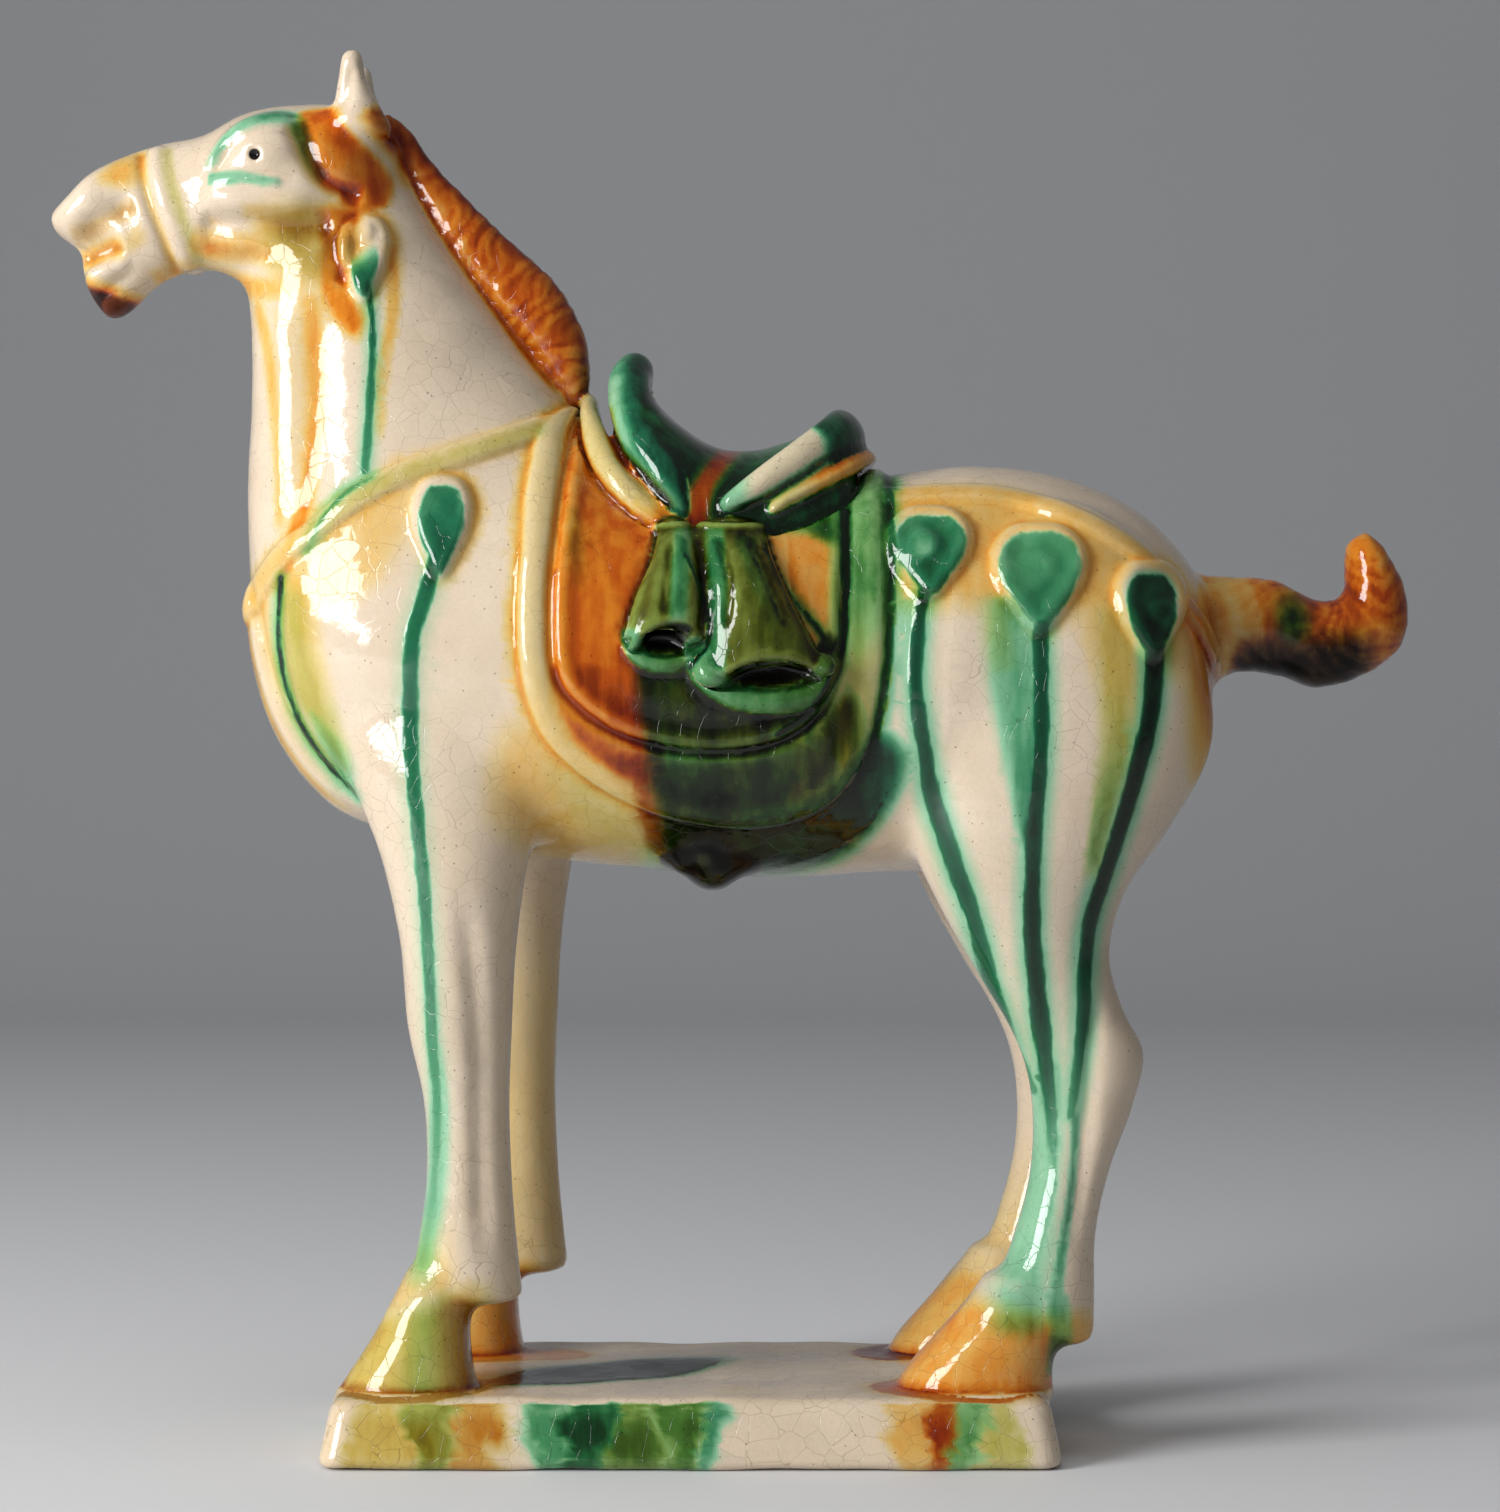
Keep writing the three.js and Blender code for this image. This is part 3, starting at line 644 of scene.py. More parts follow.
# Folds of the neck, chest, flank, legs and ears, and the rims of the hooves
THROAT_FOLD = [(-67.2, 204.8), (-66.4, 192), (-66.2, 180), (-67.2, 169), (-69.8, 159)]
CHEST_FOLD = [(-71.6, 153.4), (-72.4, 146), (-71.8, 137), (-69.3, 129), (-65, 121.8), (-58.6, 115)]
FORE_TENDON = [(-40, 104), (-37.8, 88), (-36.4, 72), (-36.4, 56), (-36, 42), (-35, 32)]
FLANK_HOLLOW = [(31, 168), (30.8, 156), (30.4, 142), (29.6, 128), (28, 116)]
HIND_TENDON = [(71, 84), (69.4, 74), (68.4, 62), (67.2, 47), (64.8, 33)]
FORE_HOOF_RIM = [(-55.4, 23.6), (-50.6, 26), (-45.6, 28), (-40.4, 29)]
HIND_HOOF_RIM = [(41.6, 23.8), (46, 26), (50.6, 27.4), (56, 27)]
EAR_GROOVE = [(-60.4, 245.4), (-61, 241), (-62.2, 236)]

# Grooves: line, width, depth and the share of it that runs out at each end. Those below zero rise.
FACE_GROOVES = [
    (BEHIND_EYE, 3.6, 1.5, 0.12),
    (CHEEK_GROOVE, 4.4, 1.5, 0.12),
    (CHEEK_RIDGE, 4.8, -1.5, 0.3),
    (NOSEBAND, 1.8, 0.9, 0.04),
    (np.array(NOSEBAND) + (2.8, 0.4), 3.6, -0.8, 0.04),
    (NOSTRIL, 5.4, 2, 0.35),
    (MOUTH, 4.6, 2.6, 0.3),
    (UPPER_LIP, 4.6, -0.9, 0.3),
    (LOWER_LIP, 4.2, -0.9, 0.3),
    (LIP_FOLD, 3, 1, 0.3),
    (JAW_LINE, 3, 1, 0.12),
    (UPPER_LID, 2.4, -0.9, 0.12),
    (LOWER_LID, 2.2, -0.7, 0.12),
    (np.array(UPPER_LID) + (0.8, -2.2), 1.6, 0.5, 0.12),
]
LIMB_GROOVES = [
    (FORE_TENDON, 4.5, 1.1, 0.25),
    (HIND_TENDON, 3.6, 1, 0.25),
    (CHEST_FOLD, 2.6, 0.9, 0.15),
    (FLANK_HOLLOW, 17, 2.9, 0.34),
    (THROAT_FOLD, 9, 1.5, 0.2),
    (FORE_HOOF_RIM, 4, -0.4, 0.25),
    (HIND_HOOF_RIM, 4, -0.4, 0.25),
]

# Leaf pendants: at the throat, on the breast collar and three under the crupper. The dish and the knob
# are shares of the lift, the green and the brown are thicknesses of glaze, and the cap is the cream rim's
# extra width at the top.
PENDANTS = [
    {"at": (-57.9, 210), "size": (8.8, 14.8), "dish": 0.1, "knob": 0.35, "knob_at": (-0.4, 4.4),
     "green": 0.76, "cap": 1.8},
    {"at": (-43, 161.8), "size": (10.4, 17.4), "dish": 0.15, "green": 0.7, "cap": 0.8},
    {"at": (41.2, 157.4), "size": (15, 15.8), "dish": 0.5, "knob": 0.65, "knob_at": (-1.2, 0.8),
     "green": 0.66, "cap": 0.8},
    {"at": (60, 152.8), "size": (16.6, 18.6), "dish": 0.4, "knob": 0.2, "knob_at": (-0.5, 1),
     "green": 0.52, "cap": 0.6},
    {"at": (79.3, 147.4), "size": (13, 17), "dish": 0.35, "knob": 0.3, "knob_at": (1.5, -1),
     "green": 0.96, "brown": 0.16, "cap": 1.7},
]
LEAF = [
    (0, -0.5), (0.25, -0.28), (0.45, 0.0), (0.47, 0.26), (0.28, 0.46), (0, 0.5),
    (-0.28, 0.46), (-0.47, 0.26), (-0.45, 0.0), (-0.25, -0.28),
]

# The mane's two edges and the middle of the tail
MANE_CREST = [
    (-56, 239), (-46, 228.4), (-38.7, 220.2), (-32.1, 214.1), (-25.1, 208.5), (-20.8, 201.5), (-18.7, 194.2),
    (-18.3, 187.2),
]
MANE_ROOT = [
    (-56.4, 235.6), (-52, 228.6), (-46.4, 218.4), (-40.6, 209.4), (-34.6, 201), (-28.8, 192.8),
    (-22.6, 185.8),
]
TAIL_LINE = [(94, 146), (104, 145.4), (112, 142.8), (118.6, 144), (122.4, 148), (123, 153.6), (121.2, 162)]

# The knotted cloth: its tie, its pleats, its open mouths with their lips, and its rear edges
TIE_LINE = [(-7.1, 161.8), (-0.1, 162.2), (7.3, 161.8), (14.6, 162.2)]
PLEATS = [
    [(-3.4, 160), (-3.9, 152), (-4.6, 146)],
    [(1.4, 160), (2.4, 150), (1.8, 142)],
    [(4.4, 161), (6.6, 152), (6, 143)],
    [(9.6, 161), (13.4, 152), (17, 143)],
]
MOUTHS = [
    {"at": (-4.2, 142.2), "size": (5, 2.5), "tilt": 20,
     "lip": [(-10.2, 142.4), (-8.8, 139.6), (-5, 138), (-1.4, 138.6), (0.6, 140.4)], "thick": 3.4},
    {"at": (13.6, 136.4), "size": (6.6, 2.3), "tilt": 4,
     "lip": [(1, 140.4), (2.2, 136.4), (5.6, 133.6), (10.6, 132), (16, 131.8), (20.6, 133.4), (23.4, 136.8),
             (24, 140.6)], "thick": 4.6},
]
FOLD_BACKS = [
    [(-1, 157), (2, 150), (3.2, 142), (0, 137.4)],
    [(12.6, 158), (17, 150), (22.6, 143), (25, 137), (22, 131.6)],
]

# The hanging drip, made of drops that ran together, and a small drip behind it
DRIPS = [
    {"place": (3.6, -12, 103.6), "radii": (5.2, 8, 5.2)},
    {"place": (-1, -15, 105), "radii": (3.4, 5, 3.8)},
    {"place": (8, -13, 104.6), "radii": (3.6, 6, 3.6)},
    {"place": (2.4, -18.6, 105.4), "radii": (3.2, 3, 3)},
]
SMALL_DRIP = {"place": (25.4, -9, 104.4), "radii": (2.8, 3, 2.6)}

# Curtains of glaze down the plinth's long sides: from and to along X, then green, amber and brown
PLINTH_BANDS = [
    (-66, -58, 0, 0.08, 0),
    (-58, -49, 0.08, 0.4, 0.02),
    (-49, -40.5, 0.26, 0.6, 0.06),
    (-40.5, -31.8, 0.06, 0.55, 0.12),
    (-28.4, -22, 0.5, 0.1, 0),
    (-22, -12.7, 0.84, 0.2, 0.06),
    (-12.7, -6, 0.46, 0.5, 0.1),
    (-6, 2.2, 0.5, 0.46, 0.06),
    (2.2, 5.8, 0.5, 0, 0),
    (33.6, 40.4, 0, 0.42, 0.04),
    (40.4, 45.6, 0, 0.8, 0.3),
    (45.6, 50.4, 0.4, 0.24, 0),
    (50.4, 56, 0.12, 0.36, 0),
]

# Pools on the plinth's top: middle, half sizes, turn, then green, amber and brown
PLINTH_POOLS = [
    {"at": (-16, -4), "size": (25, 9.6), "turn": 34, "depths": (0.95, 0.2, 0.5)},
    {"at": (-36, 16), "size": (17, 10), "turn": 6, "depths": (0, 0.56, 0.1)},
    {"at": (38, 19), "size": (9, 11), "turn": 0, "depths": (0, 0.85, 0.5)},
    {"at": (48, -20), "size": (17, 13.4), "turn": 0, "depths": (0, 0.66, 0.3)},
    {"at": (-49, -20), "size": (14.6, 13.4), "turn": 0, "depths": (0.1, 0.5, 0.26)},
]


def leaf_distance(flat, pendant):
    """The distance of points from the outline of one pendant, which hangs with its tip down."""
    return outline_distance(flat, np.array(LEAF) * pendant["size"] + pendant["at"], LEAF_STEPS)


def raise_strap(flat, line, width, height):
    """A round-backed strap along a line."""
    gap, along = line_distance(flat, line)
    return height * (0.55 * flat_band(gap, width, 0.9) + 0.45 * bead(gap, width))


def raise_groove(flat, line, width, depth, ends):
    """A soft groove along a line, running out at its ends."""
    gap, along = line_distance(flat, line)
    runs_out = fade(along, 0, ends) * fall(along, 1 - ends, 1)
    return -depth * np.exp(-(gap / (width / 2)) ** 2) * runs_out


def raise_grooves(flat, grooves):
    """Grooves and ridges of a table together."""
    return sum(raise_groove(flat, *groove) for groove in grooves)


def raise_pendant(flat, pendant, lift):
    """A leaf with a round rim, a shallow dished middle and, on some, a knob."""
    gap = leaf_distance(flat, pendant)
    size = min(pendant["size"])
    rim = lift * np.sqrt(1 - fall(gap, 0.8, -2.2) ** 2)
    dish = pendant["dish"] * lift * fall(gap, -0.3 * size, -0.1 * size)
    middle = np.array(pendant["at"]) + np.array(pendant.get("knob_at", (0, 0)))
    reach = np.linalg.norm(flat - middle, axis=1)
    knob = pendant.get("knob", 0) * lift * fall(reach, 0.1 * size, 0.27 * size)
    return rim - dish + knob


def raise_blanket(flat):
    """The saddle blanket: a rolled border, a groove, a narrow inner cord and the field."""
    edge = outline_distance(flat, BLANKET_EDGE)
    field = outline_distance(flat, BLANKET_GROOVE)
    cloth = 1.1 * fall(edge, -0.9, 0.5)
    border = 0.55 * hill(edge, -2.6, 1.9) * (field > 0)
    groove = -1.0 * hill(field, 0, 0.75)
    cord = 0.5 * hill(field, -2.1, 1.3)
    return cloth + (border + groove + cord) * (edge < 0)


def raise_folds(flat):
    """Pleats and hollow mouths of the knotted cloth that hangs at the saddle's notch."""
    height = raise_grooves(flat, [(line, 1.5, 0.6, 0.2) for line in PLEATS])
    gap, along = line_distance(flat, TIE_LINE)
    height += 0.5 * bead(gap, 1.3)
    bead_gap = np.linalg.norm(flat - np.array(TIE_LINE[0]), axis=1)
    height += 1.3 * bead(bead_gap, 3.2)
    for mouth in MOUTHS:
        height -= 2.6 * fall(mouth_distance(flat, mouth), 0.4, 1.2)
    return height


def raise_lips(flat):
    """Thick rolled lips under the mouths of the folds."""
    height = np.zeros(len(flat))
    for mouth in MOUTHS:
        gap, along = line_distance(flat, mouth["lip"])
        ends = fade(along, 0, 0.08) * fall(along, 0.9, 1)
        height = np.maximum(height, 0.52 * mouth["thick"] * ends * bead(gap, mouth["thick"]))
    return height


def mouth_distance(flat, mouth):
    """How far points are from the middle of a tilted oval mouth: 1 on its rim."""
    turn = math.radians(mouth["tilt"])
    offset = flat - np.array(mouth["at"])
    along = (offset[:, 0] * math.cos(turn) + offset[:, 1] * math.sin(turn)) / mouth["size"][0]
    across = (offset[:, 1] * math.cos(turn) - offset[:, 0] * math.sin(turn)) / mouth["size"][1]
    return np.hypot(along, across)


def raise_hair(skin, crest, spacing, slant, depth, across):
    """Strands that run slanting off a crest line, as sharp-bottomed grooves of uneven depth."""
    flat = skin.points[:, ::2]
    line = curve(crest, HAIR_STEPS)
    gap, along = step_distance(flat, line)
    length = np.sum(np.linalg.norm(np.diff(line, axis=0), axis=1))
    phase = (along * length + slant * gap + across * np.abs(skin.points[:, 1])) / spacing
    phase += 0.35 * np.sin(1.7 * phase) + 0.2 * np.sin(0.6 * gap + 3 * phase)
    lock = np.sin(math.pi * phase) ** 2
    strand = np.sin(math.pi * (2.6 * phase + 0.3)) ** 2
    return depth * (0.6 * lock + 0.4 * strand - 0.5)


def raise_harness(flat, sizes):
    """The breast collar, the crupper and their leaf pendants."""
    height = raise_strap(flat, COLLAR_LINE, 4.2, sizes.strap_lift / MM)
    height = np.maximum(height, raise_strap(flat, CRUPPER_LINE, 3.2, sizes.strap_lift / MM))
    for pendant in PENDANTS:
        height = np.maximum(height, raise_pendant(flat, pendant, sizes.pendant_lift / MM))
    return height


def raise_chest_strap(points):
    """The wide flat strap down the middle of the chest, with a groove at each side."""
    x, y, z = points.T
    across = np.abs(y)
    where = fall(x, -64, -56) * fade(z, 104, 112) * fall(z, 148, 154)
    strap = 0.9 * fall(across, 12, 13.4)
    groove = -0.9 * hill(across, 14, 1.2)
    return where * (strap + groove)


def on_piece(piece, points):
    """1 where the skin follows a piece's own surface, 0 where it belongs to something else."""
    tree = BVHTree.FromObject(piece, bpy.context.evaluated_depsgraph_get())
    corners = np.array(piece.bound_box) / MM
    close = np.all((points > corners.min(axis=0) - SEARCH) & (points < corners.max(axis=0) + SEARCH), axis=1)
    gaps = np.full(len(points), SEARCH)
    for index in np.flatnonzero(close):
        place, normal, face, gap = tree.find_nearest(points[index] * MM, SEARCH * MM)
        if gap is not None:
            gaps[index] = gap / MM
    return fall(gaps, 0.35, 0.9)


def side_view(points, sizes):
    """X and Z as on the left side: the far foreleg's set back is taken off."""
    x, y, z = points.T
    flat = points[:, ::2].copy()
    on_leg = (y > 0) * fade(-z, -140, -112) * (x < 5) * (z > HOOF_FOOT + 2)
    flat[:, 0] -= sizes.foreleg_set_back / MM * on_leg
    return flat


def raise_relief(piece, parts, sizes):
    """Works straps, blanket, pendants, folds, hair and face into the joined skin."""
    skin = Skin(piece)
    points = skin.points
    flat = side_view(points, sizes)
    normals = skin.normals()
    for step in range(6):
        normals = skin.average(normals)
    normals /= np.maximum(np.linalg.norm(normals, axis=1, keepdims=True), 1e-6)
    facing = fade(normals[:, 1] * np.sign(points[:, 1]), 0.02, 0.3)
    facing_or_back = np.maximum(facing, fade(points[:, 2], 158, 166))
    on_saddle, on_folds, on_mane, on_tail = (on_piece(parts[name], points)
                                             for name in ("saddle", "folds", "mane", "tail"))
    bare = (1 - on_saddle) * (1 - on_folds)
    bare *= (1 - on_mane) * (1 - on_tail)
    is_head = fall(flat[:, 0], -60, -50) * fade(flat[:, 1], 199, 202)
    height = bare * facing_or_back * raise_blanket(flat)
    harness = raise_harness(flat, sizes)
    height = np.where(harness > 0, np.maximum(height, bare * facing_or_back * harness), height)
    height += bare * raise_chest_strap(points)
    height += bare * facing * raise_grooves(flat, LIMB_GROOVES)
    height += is_head * facing * raise_grooves(flat, FACE_GROOVES)
    height += facing * raise_groove(flat, EAR_GROOVE, 2.6, 0.8, 0.2)
    height += on_folds * facing * raise_folds(flat)
    height += np.maximum(on_folds, bare) * facing * raise_lips(flat)
    height += on_mane * raise_hair(skin, MANE_CREST, 5.6, -0.4, 0.26, 0.0)
    height += on_tail * raise_hair(skin, TAIL_LINE, 5.2, -0.7, 0.2, 0.5)
    on_plinth = fall(points[:, 2], PLINTH_HEIGHT - 0.2, PLINTH_HEIGHT + 1)
    unevenness = (np.sin(points[:, 0] / 6.1 + 1.3 * np.sin(points[:, 1] / 7)) + np.sin(points[:, 1] / 4.7)
                  + 0.6 * np.sin(points[:, 0] / 2.9 + points[:, 2] / 2.2))
    height += 0.15 * on_plinth * unevenness
    skin.points += height[:, None] * normals
    skin.smooth(2, 0.35)
    skin.points[:, 2] = np.maximum(skin.points[:, 2], 0)
    skin.write()


# Glaze: how thick each of the three coloured glazes lies

GREEN, AMBER, BROWN = 0, 1, 2


def on_the_way(along, values):
    """Values given evenly from a line's start to its end, at each share of the way."""
    values = np.atleast_1d(values)
    return np.interp(along, np.linspace(0, 1, len(values)), values)


class Glaze:
    """Thicknesses of the coloured glazes at the points of a skin, laid on mark by mark.

    Places, widths and softness are in millimetres, seen from the side. A depth of 1 is the thickest
    glaze. Lists of widths or depths are spread evenly along their line.
    """

    def __init__(self, skin, sizes):
        self.points = skin.points
        self.flat = side_view(skin.points, sizes)
        far = skin.points[:, 1] > 0
        drift = 1.3 * np.sin(self.flat[:, 1] / 13 + 1.1) + 0.8 * np.sin(self.flat[:, 1] / 5.3)
        self.flat[:, 0] += far * drift
        normals = skin.normals()
        self.facing = fade(normals[:, 1] * np.sign(skin.points[:, 1]), -0.1, 0.2)
        count = len(skin.points)
        self.edge = np.full((count, 3), -float(REACH))
        self.depth = np.zeros((count, 3))
        self.wash = np.zeros((count, 3))

    def lay(self, colour, edge, depth):
        """A clear-edged layer: inside where edge is above zero."""
        higher = edge > self.edge[:, colour]
        self.edge[higher, colour] = edge[higher]
        self.depth[higher, colour] = np.broadcast_to(depth, edge.shape)[higher]

    def tint(self, colour, share):
        """A soft-edged layer."""
        self.wash[:, colour] = np.maximum(self.wash[:, colour], np.clip(share, 0, 1.2))

    def run(self, colour, line, widths, depths, halo=0.0, halo_reach=3.0, where=None):
        """A run of glaze along a line, as wide and as deep as the lists say, with a thin halo."""
        where = self.facing if where is None else where
        gap, along = line_distance(self.flat, line)
        half = on_the_way(along, widths) / 2
        middle = 1 - 0.34 * np.clip(gap / half, 0, 1) ** 2
        self.lay(colour, np.minimum(half - gap, 4 * (where - 0.5)), on_the_way(along, depths) * middle)
        if halo:
            self.tint(colour, halo * where * fall(gap, half - 0.3, half + halo_reach))

    def streak(self, colour, line, widths, depths, where=None):
        """A soft run without a clear edge."""
        where = self.facing if where is None else where
        gap, along = line_distance(self.flat, line)
        half = on_the_way(along, widths) / 2
        ends = fade(along, 0, 0.06) * fall(along, 0.9, 1)
        self.tint(colour, on_the_way(along, depths) * where * ends * fall(gap, 0.25 * half, 1.25 * half))

    def cloud(self, colour, outline, depth, soft):
        """A soft-edged area."""
        gap = outline_distance(self.flat, outline, 60)
        self.tint(colour, depth * self.facing * fall(gap, -soft, soft))


def glaze_head(glaze):
    """Cream face with amber in its folds, green eyelids and a dark chin, and brown painted shade in the
    groove behind the eye and in the gap between ear and mane.
    """
    x, z = glaze.flat.T
    on_chin = (x < -94) * (z > 190)
    glaze.streak(GREEN, UPPER_LID, [1.8, 2.4, 3, 3], [0.3, 0.34, 0.42, 0.5, 0.3])
    glaze.cloud(GREEN, [(-79, 234.6), (-74, 236.8), (-69.6, 235.6), (-74, 234.6)], 0.6, 1)
    glaze.streak(GREEN, LOWER_LID, [2.6, 3, 2.4, 2, 1.4], [0.42, 0.4, 0.3, 0.34, 0.24])
    glaze.streak(GREEN, BEHIND_EYE[:4], 3.6, [0.4, 0.24, 0.1])
    glaze.streak(AMBER, BEHIND_EYE, 5, [0.35, 0.42, 0.5])
    # The brown along the groove behind the eye is painted shade in that groove.
    glaze.streak(BROWN, BEHIND_EYE, 3, [0.12, 0.24, 0.28, 0.24, 0.16])
    glaze.cloud(AMBER, POLL, 0.82, 0.9)
    glaze.cloud(BROWN, [(-66, 233), (-55, 228), (-54.6, 220), (-64, 224)], 0.2, 2.5)
    glaze.streak(AMBER, NOSEBAND, 2.2, [0.5, 0.2, 0.14, 0.16, 0.4])
    behind_band = np.array(NOSEBAND) + (4.6, 0.6)
    glaze.streak(GREEN, behind_band, 3, 0.06)
    glaze.streak(AMBER, behind_band, 3, 0.2)
    glaze.cloud(AMBER, [(-105.6, 224.8), (-102, 229.4), (-98, 230), (-98.4, 224.2)], 0.5, 1.8)
    glaze.streak(AMBER, [(-106, 213.4), (-101, 213.4), (-97, 216)], 4, 0.2)
    glaze.streak(AMBER, [(-90, 214), (-84, 212.6), (-78, 212.4), (-71, 210.6)], 6, 0.42)
    glaze.streak(AMBER, [(-87, 212.8), (-83, 212.4), (-80, 213)], 3.4, 0.58)
    glaze.streak(BROWN, [(-88, 214), (-82, 212), (-76, 211.6)], 3, 0.1)
    glaze.streak(AMBER, [(-96.5, 206.4), (-92, 208.6), (-84, 207.6), (-76, 205), (-66, 206)], 5, 0.4)
    glaze.streak(AMBER, [(-58, 237), (-54, 232.6), (-51, 228), (-50.6, 223)], 6, [0.6, 0.7, 0.5, 0.1])
    # The brown between the ear and the mane is painted shade in the gap between them.
    glaze.streak(BROWN, [(-56.6, 237), (-53, 232.4), (-50.4, 227.6)], 4.6, [0.4, 0.46, 0.24])
    glaze.cloud(AMBER, [(-76, 218), (-68, 219.4), (-60, 219), (-58.6, 210), (-63, 205), (-72, 207),
                        (-76, 212)], 0.42, 3.5)
    glaze.streak(AMBER, [(-80, 218.6), (-72, 218.4), (-64, 218.8), (-61, 219.6)], 3, [0.2, 0.4, 0.62])
    glaze.streak(BROWN, [(-70, 218), (-64, 218.4), (-60.4, 218)], 2, [0.06, 0.16, 0.2])
    glaze.streak(AMBER, [(-62.6, 221), (-58.6, 220.4), (-54.6, 221.6)], [5, 6, 4], 0.74)
    glaze.streak(BROWN, [(-62, 220.6), (-58.6, 219.4)], 3, 0.14)
    glaze.cloud(GREEN, [(-74, 217), (-64, 218), (-61, 212), (-66, 207), (-74, 210)], 0.12, 3.5)
    glaze.cloud(BROWN, [(-74, 217), (-62, 218), (-60, 211), (-68, 208)], 0.2, 4)
    glaze.streak(BROWN, NOSTRIL, 3, 0.12)
    glaze.streak(AMBER, NOSTRIL, 4, 0.16)
    glaze.streak(AMBER, MOUTH, 5, 0.34)
    glaze.streak(BROWN, MOUTH, 2, 0.14)
    chin = z + 0.35 * (x + 104)
    glaze.tint(AMBER, 0.7 * on_chin * fall(chin, 205, 207.5))
    glaze.tint(BROWN, on_chin * fall(chin, 204, 205.4))
    glaze.cloud(AMBER, [(-64.6, 219), (-58.4, 219), (-60.4, 212), (-60.6, 204), (-57.6, 199), (-59.4, 196),
                        (-64.6, 202), (-66, 212)], 0.74, 1.4)
    glaze.cloud(BROWN, [(-63.6, 219), (-59, 219), (-60.8, 212), (-61.4, 206), (-64, 208)], 0.16, 1.8)


def glaze_neck(glaze):
    """Amber and yellow runs down the neck, and the green run from the throat pendant."""
    glaze.streak(AMBER, [(-78, 204), (-75.4, 196), (-74, 187), (-73, 179), (-72.2, 170), (-72, 160)],
                 [3, 2.8, 2.6, 2.8], [0.4, 0.36, 0.34])
    glaze.streak(AMBER, [(-67.6, 206), (-66.6, 194), (-66, 181), (-67.2, 169), (-70.4, 157), (-73, 148)],
                 [5.4, 4.6, 4.2, 4.6], [0.4, 0.42, 0.5, 0.42])
    glaze.streak(AMBER, [(-71.4, 204), (-70, 190), (-69.4, 176), (-70.6, 164)], [9, 7, 5], 0.12)
    glaze.streak(AMBER, [(-53.2, 214), (-52.6, 202), (-54, 190), (-54.6, 176)], [3.4, 2.6, 2.2],
                 [0.5, 0.36, 0.24])
    glaze.run(GREEN, [(-57.9, 208), (-56.8, 203.2), (-56.1, 195.3), (-56.2, 184.8), (-56.8, 172)],
              [2.2, 1.4, 1.5, 1.8, 1.8], [0.85, 0.8, 0.62, 0.5], 0.16, 2)


